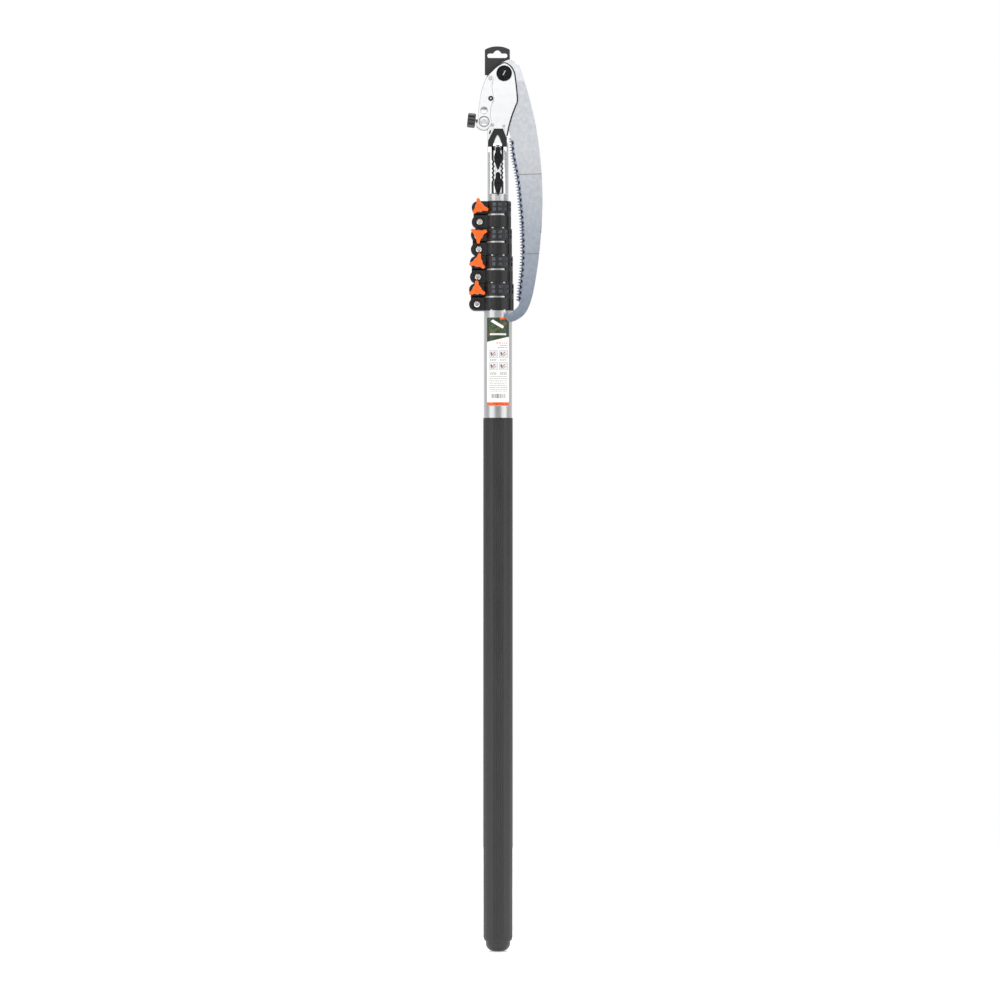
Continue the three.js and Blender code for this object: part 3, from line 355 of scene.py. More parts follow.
def settle(piece, material, body, slot, *nodes, smooth_angle=SMOOTH_ANGLE):
    """Gives a finished piece its size in metres, shading, material, body and the nodes it stands for; the slot
    is not used.
    """
    if material:
        paint(piece, [material], lambda face: False)
    piece.data.transform(Matrix.Scale(MM, 4))
    piece.data.set_sharp_from_angle(angle=smooth_angle)
    even = piece.modifiers.new("flat_faces", "WEIGHTED_NORMAL")
    even.weight, even.keep_sharp = 100, True
    baked(piece)
    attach(piece, body)
    if nodes:
        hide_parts(*nodes)
    return piece


# ---- materials ---------------------------------------------------------------------------------------

_made = {}


def add(tree, kind, values=None, links=None, **settings):
    """One node with its settings, its sockets' values and the outputs that feed its sockets."""
    made = tree.nodes.new(kind)
    for name, value in settings.items():
        setattr(made, name, value)
    for socket, value in (values or {}).items():
        made.inputs[socket].default_value = value
    for socket, source in (links or {}).items():
        tree.links.new(source, made.inputs[socket])
    return made


def start(name, values):
    """A material with its shader and output, and the tree to build on."""
    material = bpy.data.materials.new(name)
    material.use_nodes = True
    tree = material.node_tree
    tree.nodes.clear()
    shader = add(tree, "ShaderNodeBsdfPrincipled", values)
    add(tree, "ShaderNodeOutputMaterial", links={"Surface": shader.outputs[0]})
    return material, tree, shader


def noise(tree, size_mm, stretch=(1, 1, 1), detail=3.0, roughness=0.55):
    """Noise in object space whose blobs are about size_mm across, stretched along the axes."""
    place = add(tree, "ShaderNodeTexCoord").outputs["Object"]
    mapped = add(tree, "ShaderNodeMapping", {"Scale": [1 / s for s in stretch]}, {"Vector": place})
    values = {"Scale": 1 / (size_mm * MM), "Detail": detail, "Roughness": roughness}
    return add(tree, "ShaderNodeTexNoise", values, {"Vector": mapped.outputs[0]}).outputs["Fac"]


def ramp(tree, source, low, high, start_at=0.3, end_at=0.7):
    """Blends two colours by a source between two values."""
    made = add(tree, "ShaderNodeValToRGB", links={"Fac": source})
    for element, place, colour in zip(made.color_ramp.elements, (start_at, end_at), (low, high)):
        element.position, element.color = place, colour
    return made.outputs["Color"]


def spread(tree, source, low, high, start_at=0.3, end_at=0.7):
    """Runs from low to high while the source runs between two values."""
    values = {"From Min": start_at, "From Max": end_at, "To Min": low, "To Max": high}
    return add(tree, "ShaderNodeMapRange", values, {"Value": source}).outputs["Result"]


def bump(tree, shader, source, height_mm, strength=1.0):
    values = {"Strength": strength, "Distance": height_mm * MM}
    made = add(tree, "ShaderNodeBump", values, {"Height": source})
    tree.links.new(made.outputs["Normal"], shader.inputs["Normal"])


def shade(colour, *factors):
    """The colour scaled by one factor, or by one for each of red, green and blue."""
    each = factors if len(factors) == 3 else factors * 3
    return (*[min(c * factor, 1.0) for c, factor in zip(colour, each)], 1.0)


def maths(tree, operation, a, b):
    """A maths node between two inputs that are numbers or other nodes' outputs."""
    made = add(tree, "ShaderNodeMath", operation=operation)
    for socket, value in zip(made.inputs, (a, b)):
        if isinstance(value, (int, float)):
            socket.default_value = value
        else:
            tree.links.new(value, socket)
    return made.outputs[0]


def dress(tree, shader, tint, tones, rough, grain, height_mm, strength, worn=None, between=(0.3, 0.7)):
    """Wires up a tint between two tones, a roughness between two values and a relief from the grain."""
    tree.links.new(ramp(tree, tint, *tones, *between), shader.inputs["Base Color"])
    tree.links.new(spread(tree, worn or tint, *rough), shader.inputs["Roughness"])
    bump(tree, shader, grain, height_mm, strength)


def once(build):
    """Builds a material the first time and hands out the same one after that."""
    def fetch(*args):
        key = (build.__name__, *map(str, args))
        if key not in _made:
            _made[key] = build(*args)
        return _made[key]
    return fetch


def colours():
    return bpy.context.scene.pole_saw_colours


@once
def anodised_aluminium():
    # Extruded and satin anodised: soft reflections drawn out along the tube, with faint lengthwise die lines.
    base = tuple(colours().aluminium)
    material, tree, shader = start("anodised_aluminium_satin", {"Metallic": 1.0})
    lines = noise(tree, 0.9, (1, 1, 260))
    clouds = noise(tree, 30, (1, 1, 4))
    tones = (shade(base, 0.93), shade(base, 1.05))
    dress(tree, shader, lines, tones, (0.27, 0.34), lines, 0.006, 0.5, worn=clouds)
    return material


@once
def chrome_plate():
    # Polished and chrome plated sheet: clean bright reflections, slightly hazed, with fine polishing marks.
    base = tuple(colours().chrome)
    material, tree, shader = start("chrome_plate_polished", {"Metallic": 1.0})
    marks = noise(tree, 0.8, (12, 1, 1))
    dress(tree, shader, noise(tree, 9), (shade(base, 0.95), base), (0.17, 0.27), marks, 0.004, 0.4)
    return material


@once
def rim_painted_shade():
    # The stamped rim of the plated sheet: dull, and painted dark grey as painted shade that outlines the bright
    # faces where the gaps round the plates fall into shadow.
    material, tree, shader = start("chrome_plate_rim_painted_shade", {"Metallic": 1.0})
    lines = noise(tree, 0.4, (1, 5, 1))
    dress(tree, shader, lines, (linear(0x24272C), linear(0x4C5056)), (0.4, 0.55), lines, 0.01, 0.5)
    return material


@once
def blade_steel():
    # Rolled spring steel with a satin grind: mottled, bright at the polished tang and bluer towards the hook.
    base = tuple(colours().blade)
    hook_end = span("saw_blade")[0].z
    material, tree, shader = start("spring_steel_satin_ground", {"Metallic": 1.0})
    place = add(tree, "ShaderNodeTexCoord").outputs["Object"]
    parts = add(tree, "ShaderNodeSeparateXYZ", links={"Vector": place}).outputs
    along = spread(tree, parts["Z"], 0.0, 1.0, hook_end * MM, (hook_end + 330) * MM)
    hue = ramp(tree, along, linear(0xA0ADC0), base, 0.0, 0.8)
    mottle = ramp(tree, noise(tree, 6, detail=5), linear(0xEEEEEE), linear(0xFFFFFF), 0.35, 0.65)
    toned = add(tree, "ShaderNodeMix", {0: 1.0}, {6: hue, 7: mottle}, data_type="RGBA",
                blend_type="MULTIPLY").outputs[2]
    # Two fine lines are drawn across the blade, a little out of square.
    slant, half_width = 0.03, 0.0005
    level = maths(tree, "SUBTRACT", parts["Z"], maths(tree, "MULTIPLY", parts["X"], slant))
    for line_height in (1.2395, 1.1125):
        near = add(tree, "ShaderNodeMath", {1: line_height, 2: half_width}, {0: level}, operation="COMPARE")
        toned = add(tree, "ShaderNodeMix", {7: linear(0x8C8474)}, {0: near.outputs[0], 6: toned},
                    data_type="RGBA").outputs[2]
    tree.links.new(toned, shader.inputs["Base Color"])
    polish_from, polish_to = 1.388, 1.393
    tree.links.new(spread(tree, parts["Z"], 0.36, 0.16, polish_from, polish_to), shader.inputs["Roughness"])
    bump(tree, shader, noise(tree, 0.7, (14, 1, 1)), 0.008, 0.5)
    return material


@once
def tooth_steel():
    # Impulse-hardened teeth: bright faces, and wide ground facets tempered to a dark blue grey.
    material, tree, shader = start("tooth_steel_hardened", {"Metallic": 1.0})
    lines = noise(tree, 0.5, (1, 1, 8))
    bright = ramp(tree, lines, linear(0x8993A4), linear(0xC4CAD4))
    dark = ramp(tree, lines, linear(0x1F2A40), linear(0x394660))
    facet = add(tree, "ShaderNodeAttribute", attribute_name="facet").outputs["Fac"]
    blend = add(tree, "ShaderNodeMix", links={0: facet, 6: bright, 7: dark}, data_type="RGBA").outputs[2]
    tree.links.new(blend, shader.inputs["Base Color"])
    tree.links.new(spread(tree, lines, 0.2, 0.34), shader.inputs["Roughness"])
    bump(tree, shader, lines, 0.01, 0.5)
    return material


@once
def black_steel():
    # Black-oxided steel: deep grey with a low oily sheen and slightly worn, lighter patches.
    material, tree, shader = start("black_oxide_steel", {"Metallic": 0.75})
    wear, tones = noise(tree, 2.2, detail=5), (linear(0x17171A), linear(0x35353A))
    dress(tree, shader, wear, tones, (0.26, 0.42), noise(tree, 0.35), 0.01, 0.4, between=(0.4, 0.75))
    return material


@once
def zinc_steel():
    # Bright zinc plate: white metal with a faint blue to straw tint that drifts over the part.
    material, tree, shader = start("zinc_plate_bright", {"Metallic": 1.0})
    tones = (linear(0xC9D0DA), linear(0xE6E2D8))
    dress(tree, shader, noise(tree, 3), tones, (0.2, 0.32), noise(tree, 0.4), 0.004, 0.4)
    return material


@once
def black_nylon():
    # Glass-filled nylon with an eroded mould texture: soft highlights broken up by a fine grain.
    base = tuple(colours().nylon)
    material, tree, shader = start("nylon_black_moulded", {"IOR": 1.53})
    tones, grain = (shade(base, 0.5), shade(base, 0.95)), noise(tree, 0.45, detail=4)
    dress(tree, shader, noise(tree, 14), tones, (0.26, 0.42), grain, 0.03, 0.35, worn=noise(tree, 1.2))
    return material


@once
def nylon_painted_light():
    # The pockets' floors, moulded against polished steel: smoother and glossier, with a lighter cool grey
    # colour that is painted light for the light the floors catch.
    gloss = {"IOR": 1.53, "Coat Weight": 0.5, "Coat Roughness": 0.2}
    material, tree, shader = start("nylon_black_painted_light", gloss)
    tones = (linear(0x3A3E48), linear(0x555A66))
    dress(tree, shader, noise(tree, 4), tones, (0.2, 0.32), noise(tree, 0.6), 0.01, 0.3)
    return material


@once
def grip_vinyl():
    # Extruded soft vinyl: satin, with extrusion lines along it and a few lighter handling smudges.
    base = tuple(colours().vinyl)
    material, tree, shader = start("vinyl_black_extruded", {"IOR": 1.52})
    smudge = noise(tree, 26, (1, 1, 2.5), 5)
    lines = noise(tree, 0.8, (1, 1, 120))
    dress(tree, shader, smudge, (shade(base, 0.6), shade(base, 1.0)), (0.4, 0.54), lines, 0.03, 0.4)
    return material


@once
def orange_nylon():
    # Semi-gloss moulded nylon: saturated orange, a little redder and deeper in the flow marks.
    base = tuple(colours().orange)
    material, tree, shader = start("nylon_orange_moulded", {"IOR": 1.53})
    tones, grain = (shade(base, 0.94, 0.8, 0.8), base), noise(tree, 0.5)
    dress(tree, shader, noise(tree, 6), tones, (0.3, 0.42), grain, 0.02, 0.3, worn=noise(tree, 1.0))
    return material


@once
def hanger_plastic():
    # Punched sheet polypropylene: flat dark grey with a leathery calendered grain.
    base = tuple(colours().tab)
    material, tree, shader = start("polypropylene_sheet_grey", {"IOR": 1.49})
    tones, grain = (shade(base, 0.88), shade(base, 1.14)), noise(tree, 0.6)
    dress(tree, shader, noise(tree, 8), tones, (0.42, 0.58), grain, 0.03, 0.4, worn=noise(tree, 2))
    return material


@once
def printed_film(name, hex_colour):
    # Ink on glossy polypropylene film: flat colour with a slight press mottle under a smooth clear skin.
    base = linear(hex_colour)
    gloss = {"IOR": 1.5, "Coat Weight": 0.3, "Coat Roughness": 0.12}
    material, tree, shader = start(f"film_print_{name}", gloss)
    tones = (shade(base, 0.93), shade(base, 1.04))
    dress(tree, shader, noise(tree, 1.6), tones, (0.32, 0.42), noise(tree, 5), 0.01, 0.3)
    return material


@once
def stage_floor():
    # Matt white lacquered board with a barely visible roller texture.
    material, tree, shader = start("board_white_lacquered", {
        "Roughness": 0.8, "Emission Color": linear(0xFFFFFF), "Emission Strength": 0.45})
    mottle = ramp(tree, noise(tree, 400), linear(0xF6F6F6), linear(0xFCFCFC))
    tree.links.new(mottle, shader.inputs["Base Color"])
    bump(tree, shader, noise(tree, 6), 0.05, 0.1)
    return material


# ---- geometry node trees -----------------------------------------------------------------------------


def node_group(name, sockets):
    """An empty geometry node tree with a geometry input and output and the named inputs."""
    tree = bpy.data.node_groups.new(name, "GeometryNodeTree")
    tree.interface.new_socket("Geometry", in_out="INPUT", socket_type="NodeSocketGeometry")
    for label, kind in sockets:
        tree.interface.new_socket(label, in_out="INPUT", socket_type=f"NodeSocket{kind}")
    tree.interface.new_socket("Geometry", in_out="OUTPUT", socket_type="NodeSocketGeometry")
    return tree, add(tree, "NodeGroupInput").outputs


def run_nodes(piece, tree, values):
    """Applies a geometry node tree with its inputs set by identifier, and leaves a plain mesh."""
    modifier = piece.modifiers.new(tree.name, "NODES")
    modifier.node_group = tree
    for item in tree.interface.items_tree:
        if item.in_out == "INPUT" and item.name in values:
            modifier[item.identifier] = values[item.name]
    return baked(piece)


def join_xyz(tree, x=None, y=None, z=None):
    """A vector from up to three outputs; the ones left out stay at zero."""
    links = {i: source for i, source in enumerate((x, y, z)) if source}
    return add(tree, "ShaderNodeCombineXYZ", links=links).outputs[0]


def finished(tree, copies, material):
    """Turns the copies into one mesh with a material and ends the tree."""
    real = add(tree, "GeometryNodeRealizeInstances", links={"Geometry": copies}).outputs[0]
    coated = add(tree, "GeometryNodeSetMaterial", links={"Geometry": real, "Material": material})
    add(tree, "NodeGroupOutput", links={0: coated.outputs[0]})
    return tree


def pocket_grid_tree():
    """Rows of blocks that point out of the pole, used to cut the collars' pockets."""
    floats = ["Radius", "Width", "Depth", "Height", "First angle", "Angle step", "Bottom", "Row pitch"]
    others = [("Columns", "Int"), ("Rows", "Int"), ("Material", "Material")]
    tree, given = node_group("pocket_grid", [(label, "Float") for label in floats] + others)
    count = maths(tree, "MULTIPLY", given["Columns"], given["Rows"])
    line = add(tree, "GeometryNodeMeshLine", links={"Count": count})
    index = add(tree, "GeometryNodeInputIndex").outputs[0]
    column = maths(tree, "MODULO", index, given["Columns"])
    row = maths(tree, "FLOOR", maths(tree, "DIVIDE", index, given["Columns"]), 0)
    angle = maths(tree, "ADD", given["First angle"], maths(tree, "MULTIPLY", column, given["Angle step"]))
    height = maths(tree, "ADD", given["Bottom"], maths(tree, "MULTIPLY", row, given["Row pitch"]))
    across = maths(tree, "MULTIPLY", maths(tree, "SINE", angle, 0), given["Radius"])
    towards = maths(tree, "MULTIPLY", maths(tree, "COSINE", angle, 0), given["Radius"])
    place = join_xyz(tree, across, maths(tree, "MULTIPLY", towards, -1), height)
    moved = add(tree, "GeometryNodeSetPosition", links={"Geometry": line.outputs[0], "Position": place})
    size = join_xyz(tree, given["Width"], given["Depth"], given["Height"])
    cell = add(tree, "GeometryNodeMeshCube", links={"Size": size}).outputs[0]
    turn = join_xyz(tree, z=angle)
    copies = add(tree, "GeometryNodeInstanceOnPoints", links={
        "Points": moved.outputs[0], "Instance": cell, "Rotation": turn})
    return finished(tree, copies.outputs[0], given["Material"])


def tooth_row_tree():
    """Two kinds of tooth that take turns along a line, each square to it."""
    tree, given = node_group("tooth_row", [
        ("Count", "Int"), ("Even tooth", "Object"), ("Odd tooth", "Object"), ("Material", "Material")])
    line = add(tree, "GeometryNodeMeshToCurve", links={"Mesh": given["Geometry"]}).outputs[0]
    spaced = add(tree, "GeometryNodeResampleCurve", links={"Curve": line, "Count": given["Count"]})
    points = add(tree, "GeometryNodeCurveToPoints", links={"Curve": spaced.outputs[0]}, mode="EVALUATED")
    turn = add(tree, "FunctionNodeAlignRotationToVector", links={"Vector": points.outputs["Tangent"]},
               axis="X", pivot_axis="Y")
    index = add(tree, "GeometryNodeInputIndex").outputs[0]
    odd = maths(tree, "MODULO", index, 2)
    rows = []
    for label, chosen in (("Even tooth", maths(tree, "SUBTRACT", 1, odd)), ("Odd tooth", odd)):
        tooth = add(tree, "GeometryNodeObjectInfo", links={"Object": given[label]}).outputs["Geometry"]
        row = add(tree, "GeometryNodeInstanceOnPoints", links={
            "Points": points.outputs["Points"], "Selection": chosen, "Instance": tooth,
            "Rotation": turn.outputs[0]})
        rows.append(row.outputs[0])
    both = add(tree, "GeometryNodeJoinGeometry", links={0: rows[0]})
    tree.links.new(rows[1], both.inputs[0])
    return finished(tree, both.outputs[0], given["Material"])


# ---- pole --------------------------------------------------------------------------------------------

BODIES = ("pole_base", "section_2", "section_3", "section_4", "section_5")
GRIP_BANDS = 4
TUBE_WALL = 1.1
# The widest gap between pieces that fit together.
FIT_GAP = 0.3
SADDLE_BOLT_HEIGHTS = (1227.0, 1268.0)
SADDLE_BOLT_HOLE = 3.2


def tube_radius(n):
    return span(f"tube_{n}")[1].x


def polar(angle, radius):
    """A point at an angle from the front, in degrees."""
    a = math.radians(angle)
    return Vector((radius * math.sin(a), -radius * math.cos(a)))


def round_hole(radius, x, z, front=-60.0, back=0.0):
    """A round cutter along Y."""
    return turned_y("hole", [(0, front), (radius, front), (radius, back), (0, back)], x, z, 48)


def build_tube(n):
    low, high = span(f"tube_{n}")
    outer, inner, edge = high.x, high.x - TUBE_WALL, 0.25
    tube = turned(f"tube_{n}_body", [
        (inner + edge, low.z), (outer - edge, low.z), (outer, low.z + edge), (outer, high.z - edge),
        (outer - edge, high.z), (inner + edge, high.z), (inner, high.z - edge), (inner, low.z + edge),
    ])
    if n == SECTIONS:
        combine(tube, [round_hole(SADDLE_BOLT_HOLE, 0, z) for z in SADDLE_BOLT_HEIGHTS], "DIFFERENCE")
    settle(tube, anodised_aluminium(), BODIES[n - 1], "aluminium_tube", f"tube_{n}")


def build_end_cap():
    """A domed foot, a rim that the tube stands on and a spigot that goes up into it."""
    high = span("end_cap")[1]
    foot, dome, dome_height, spigot, chamfer = 6.5, 13.5, 13, 21.1, 0.8
    rim_low, rim_high = 18.4, 22.0
    angles = [math.radians(-90 + 90 * i / 18) for i in range(19)]
    profile = [(0, 0.6), (foot - 3, 0.6), (foot - 2.4, 0)]
    profile += [(foot + dome * math.cos(a), dome_height + dome_height * math.sin(a)) for a in angles]
    profile += [
        (foot + dome, rim_low), (high.x - 0.3, rim_low), (high.x, rim_low + 0.3), (high.x, rim_high - 0.2),
        (high.x - 0.2, rim_high), (spigot, rim_high), (spigot, high.z - chamfer), (spigot - chamfer, high.z),
        (0, high.z)]
    settle(turned("end_cap_body", profile), black_nylon(), "pole_base", "black_nylon", "end_cap")


def grip_outline(radius):
    """The sleeve's outline: bands of rounded lengthwise grooves with plain strips between them."""
    settings = bpy.context.scene.pole_saw_pole
    half = math.degrees(settings.band_half_angle)
    pitch = 2 * half / settings.flutes
    plain = 360 / GRIP_BANDS - 2 * half
    ridge, groove_steps, plain_steps = 0.42, 9, 12
    loop = []
    for band in range(GRIP_BANDS):
        first = band * 360 / GRIP_BANDS - half
        for flute in range(settings.flutes):
            begin = first + flute * pitch
            loop.append(polar(begin + pitch * ridge / 2, radius))
            for step in range(groove_steps):
                along = ridge + (1 - ridge) * step / groove_steps
                fall = (1 - math.cos(2 * math.pi * step / groove_steps)) / 2
                loop.append(polar(begin + pitch * along, radius - settings.flute_depth * fall))
        loop += [polar(first + 2 * half + plain * step / plain_steps, radius) for step in range(plain_steps)]
    return loop


def build_grip():
    low, high = span("grip_sleeve")
    outer, chamfer, wall = high.x, 4.7, 0.9
    inner = outer - wall
    bore = [Vector(p) for p in circle(inner, steps=ROUND)]
    straight = [(0, low.z + chamfer), (0, high.z - 0.35), (0.12, high.z - 0.1), (0.3, high.z)]
    sleeve = loft("grip_sleeve_body", [grip_outline(outer), bore], straight, upright=True)
    # A lip turns in under the sleeve and grips the end cap's rim from below.
    lip_inner, lip_top, lip_outer = 20.3, 18.1, outer - 0.7
    root, overlap = low.z + chamfer, 0.4
    lip = turned("lip", [
        (lip_inner, low.z), (lip_inner + 0.6, low.z), (21.9, low.z + 1.9), (lip_outer, root),
        (lip_outer, root + overlap), (inner, root + overlap), (inner, lip_top), (lip_inner, lip_top),
    ])
    combine(sleeve, [lip], "UNION")
    settle(sleeve, grip_vinyl(), "pole_base", "grip_vinyl", "grip_sleeve")


# ---- label -------------------------------------------------------------------------------------------


def rectangle(x0, x1, z0, z1, corner=0.0):
    """The outline of a rectangle, with rounded corners if a corner radius is given."""
    if not corner:
        return [(x0, z0), (x1, z0), (x1, z1), (x0, z1)]
    loop = []
    for x, z, begin in ((x1 - corner, z0 + corner, -90), (x1 - corner, z1 - corner, 0),
                        (x0 + corner, z1 - corner, 90), (x0 + corner, z0 + corner, 180)):
        loop += [tuple(p) for p in arc(x, z, corner, begin, begin + 90, 4)]
    return loop


def bar(x0, z0, x1, z1, width):
    """A straight stroke between two points."""
    along = Vector((x1 - x0, z1 - z0)).normalized() * width / 2
    across = (-along.y, along.x)
    return [(x0 + across[0], z0 + across[1]), (x0 - across[0], z0 - across[1]),
            (x1 - across[0], z1 - across[1]), (x1 + across[0], z1 + across[1])]


def dashes(x0, x1, z, height, seed):
    """A line of short strokes of uneven length that stands for a line of small print."""
    shortest, longest, gap = 1.2, 3.6, height * 0.9
    picks = random.Random(seed)
    made = []
    x = x0
    while x < x1 - 1:
        length = min(picks.uniform(shortest, longest), x1 - x)
        made.append(rectangle(x, x + length, z - height / 2, z + height / 2))
        x += length + gap
    return made


def frame_line(x0, x1, z0, z1, width):
    """The four strokes of a rectangular frame."""
    inner_low, inner_high = z0 + width, z1 - width
    return [rectangle(x0, x1, z0, inner_low), rectangle(x0, x1, inner_high, z1),
            rectangle(x0, x0 + width, inner_low, inner_high), rectangle(x1 - width, x1, inner_low, inner_high)]


INKS = (("foliage", 0x24371E), ("leaf", 0x4E6B2E), ("bark", 0x5E4630), ("white", 0xF3F3F0),
        ("orange", 0xF25A0C), ("grey", 0x4A4B4D), ("black", 0x242424), ("pale", 0xD9DBDC))
FOLIAGE, LEAF, BARK, WHITE, ORANGE, GREY, BLACK, PALE = range(len(INKS))
PRINT_HALF, PRINT_TOP = 17.5, 1012.9


def label_scene(picks):
    """The picture at the top: leaves and branches with two pale shapes and an orange tag on them."""
    sides = (-PRINT_HALF, PRINT_HALF)
    under = [(FOLIAGE, [(sides[0], 974), (-6, 976.4), (8, 979.8), (sides[1], 982), (sides[1], PRINT_TOP),
                        (sides[0], PRINT_TOP)])]
    between = [(BARK, bar(-17, 984, 14, 1005, 4.2)), (BARK, bar(2, 997, 6, 1011, 2.2))]
    leaves, leaf_width = 46, 1.1
    for _ in range(leaves):
        x, z = picks.uniform(-15.5, 15.5), picks.uniform(984, 1010)
        angle, length = picks.uniform(0, math.pi), picks.uniform(1.4, 2.8)
        end = (x + length * math.cos(angle), z + length * math.sin(angle))
        between.append((LEAF, bar(x, z, *end, leaf_width)))
    over = [(ORANGE, rectangle(3.2, 17.4, 1009.6, PRINT_TOP)), (WHITE, rectangle(-13, 13, 984.6, 987.4, 0.8)),
            (WHITE, [(-12, 1006.5), (-8, 1009.5), (9.5, 998.6), (7.6, 995.2), (4.2, 996.8)])]
    return under, between, over


def label_cells():
    """Four framed cells in two rows, each with a small figure of strokes."""
    corner, line, inset = 1.2, 0.35, 3
    between, over = [], []
    for z0, z1 in ((948.2, 960.7), (928.7, 941.1)):
        for x0, x1 in ((-13.7, -0.7), (2, 15.3)):
            centre = (x0 + x1) / 2
            between.append((PALE, rectangle(x0, x1, z0, z1, corner)))
            over += [(GREY, outline) for outline in frame_line(x0, x1, z0, z1, line)]
            over.append((BLACK, bar(centre - 4, z0 + inset, centre + 2.5, z1 - inset, 1.1)))
            over.append((ORANGE, bar(centre - 1, z0 + 2.6, centre + 4, z0 + 6.4, 1.3)))
            over.append((BLACK, rectangle(centre - 4.6, centre - 2.4, z0 + 5.4, z0 + 9.2)))
    return between, over


def label_rows():
    """The lines of small print, top to bottom, as [ink, height, stroke, left, right]."""
    small, columns = 0.7, ((-13, -2), (3, 14))
    rows = [(ORANGE, 972, 1.5, -2.7, 15.1), (GREY, 967.8, 1.0, 3.2, 15.1), (GREY, 964.6, 1.0, -0.4, 15.1)]
    rows += [(GREY, z, small, *column) for z in (946.0, 944.4, 925.0, 923.3, 921.7) for column in columns]
    paragraph_low, paragraph_pitch, paragraph_rows = 895.3, 2.9, 9
    rows += [(GREY, paragraph_low + paragraph_pitch * i, 0.75, -13.7, 15.3) for i in range(paragraph_rows)]
    return rows


def bar_code(picks):
    """Upright strokes of uneven width and spacing."""
    x, end, low, high = -10.4, 12.4, 884, 891
    over = []
    while x < end:
        width = picks.choice((0.25, 0.4, 0.65))
        over.append((BLACK, rectangle(x, x + width, low, high)))
        x += width + picks.choice((0.35, 0.55, 0.8))
    return over


def label_layers():
    """What is printed, as three layers of [ink number, outline] pairs in x, z, in mm."""
    picks = random.Random(7)
    under, between, over = label_scene(picks)
    under.append((ORANGE, rectangle(-PRINT_HALF, PRINT_HALF, 871.9, 877.6)))
    under.append((WHITE, rectangle(-11, 13, 882.9, 891.8)))
    cell_layers = label_cells()
    between += cell_layers[0]
    over += cell_layers[1]
    for seed, (ink, z, stroke, x0, x1) in enumerate(label_rows()):
        over += [(ink, outline) for outline in dashes(x0, x1, z, stroke, seed)]
    over += bar_code(picks)
    over += [(BLACK, outline) for outline in dashes(-7, 14, 874.7, 1.3, 40)]
    over += [(GREY, bar(-13, 986, 12, 986, 0.5))]
    return under, between, over


def laid_on_pole(bm, shapes, radius):
    """Adds flat x, z shapes to bm, bent round the pole at a radius."""
    own = []
    for ink, outline in shapes:
        face = bm.faces.new([bm.verts.new((x, 0, z)) for x, z in outline])
        face.material_index = ink
        own.append(face)
    bmesh.ops.triangulate(bm, faces=own)
    # Upright cuts at equal steps let the flat shapes follow the curve.
    step, cuts = 1.6, 11
    for k in range(-cuts, cuts + 1):
        flat = [v for v in bm.verts if v.co.y == 0]
        linked = {e for v in flat for e in v.link_edges} | {f for v in flat for f in v.link_faces}
        bmesh.ops.bisect_plane(bm, geom=flat + list(linked), plane_co=(k * step, 0, 0), plane_no=(1, 0, 0))
    for vertex in bm.verts:
        if vertex.co.y == 0:
            vertex.co.y = -math.sqrt(radius**2 - vertex.co.x**2)


def build_label():
    low, high = span("label")
    outer, thickness, half_angle = -low.y, 0.25, 50.4
    # The printed layers lie in the outermost part of the film's thickness.
    print_room, layer = 0.1, 0.033
    film = front_arc("label_film", outer - thickness, outer - print_room, half_angle, low.z, high.z, 0.04)
    settle(film, printed_film("base", 0xF4F4F1), "pole_base", "label_film", "label")
    bm = bmesh.new()
    for number, shapes in enumerate(label_layers()):
        laid_on_pole(bm, shapes, outer - print_room + layer * (number + 0.9))
    bmesh.ops.recalc_face_normals(bm, faces=bm.faces)
    for face in bm.faces:
        if face.normal.y > 0:
            face.normal_flip()
    ink = new_object("label_print", bm)
    for name, value in INKS:
        ink.data.materials.append(printed_film(name, value))
    settle(ink, None, "pole_base", "label_film")


# ---- clamp collars -----------------------------------------------------------------------------------

BOLT_Z, SCREW_Z = 33.3, 10.3
EAR_FACE, EAR_RADIUS, EAR_NECK, EAR_REACH = 13.0, 10.2, 7.4, 2.6
SLOT = (20.6, 23.6)
STUD_HOLE = 3.2
KNOB_TURNS = (91.6, 77.3, 26.3, 102.0)


def bolt_x(n):
    return middle(f"clamp_stud_{n}").x


def collar_bottom(n):
    return span(f"collar_{n}")[0].z


def lift(piece, height):
    piece.data.transform(Matrix.Translation((0, 0, height)))
    return piece


def collar_ears(n):
    """The two bolt lobes and the neck between them."""
    x, reach = bolt_x(n) - EAR_REACH, -tube_radius(n) / 2
    lean = math.degrees(math.acos(EAR_NECK / EAR_RADIUS))
    contour = arc(x, SCREW_Z, EAR_RADIUS, 270, 180 - lean, 20) + arc(x, BOLT_Z, EAR_RADIUS, 180 + lean, 90, 20)
    contour += [Vector((reach, BOLT_Z + EAR_RADIUS)), Vector((reach, SCREW_Z - EAR_RADIUS))]
    return loft("ears", [contour], rounded(-EAR_FACE, EAR_FACE, 0.9, 4))


def pocket_cutters(outer, tree):
    settings = bpy.context.scene.pole_saw_pole
    reach, height, first_angle, bottom, row_pitch = 8.0, 5.6, -18.7, 30.3, 7.6
    return run_nodes(new_object("pockets", bmesh.new()), tree, {
        "Radius": outer - settings.pocket_depth + reach / 2, "Width": settings.pocket_width,
        "Depth": reach, "Height": height, "First angle": math.radians(first_angle),
        "Angle step": settings.pocket_step, "Bottom": bottom, "Row pitch": row_pitch,
        "Columns": 9, "Rows": 2, "Material": black_nylon(),
    })


def collar_grooves(outer, seat):
    """Cutters for short grooves beside the screw, upright ones round the skirt and two foot notches."""
    far = 70.0
    short = [(angle, 6.6, outer - 0.9, z, z + 4.4) for angle in (-17, 3) for z in (3, 8.6, 14.2)]
    upright = [(angle, 4.4, outer - 1, 2.2, 19) for angle in (46, 72, 98, 124, 150, 176, 202)]
    notches = [(angle, 6, seat - 1, -1, 1.6) for angle in (-29, 28)]
    return gather("grooves", [radial_block(angle, width, floor, far, low, high)
                              for angle, width, floor, low, high in short + upright + notches])


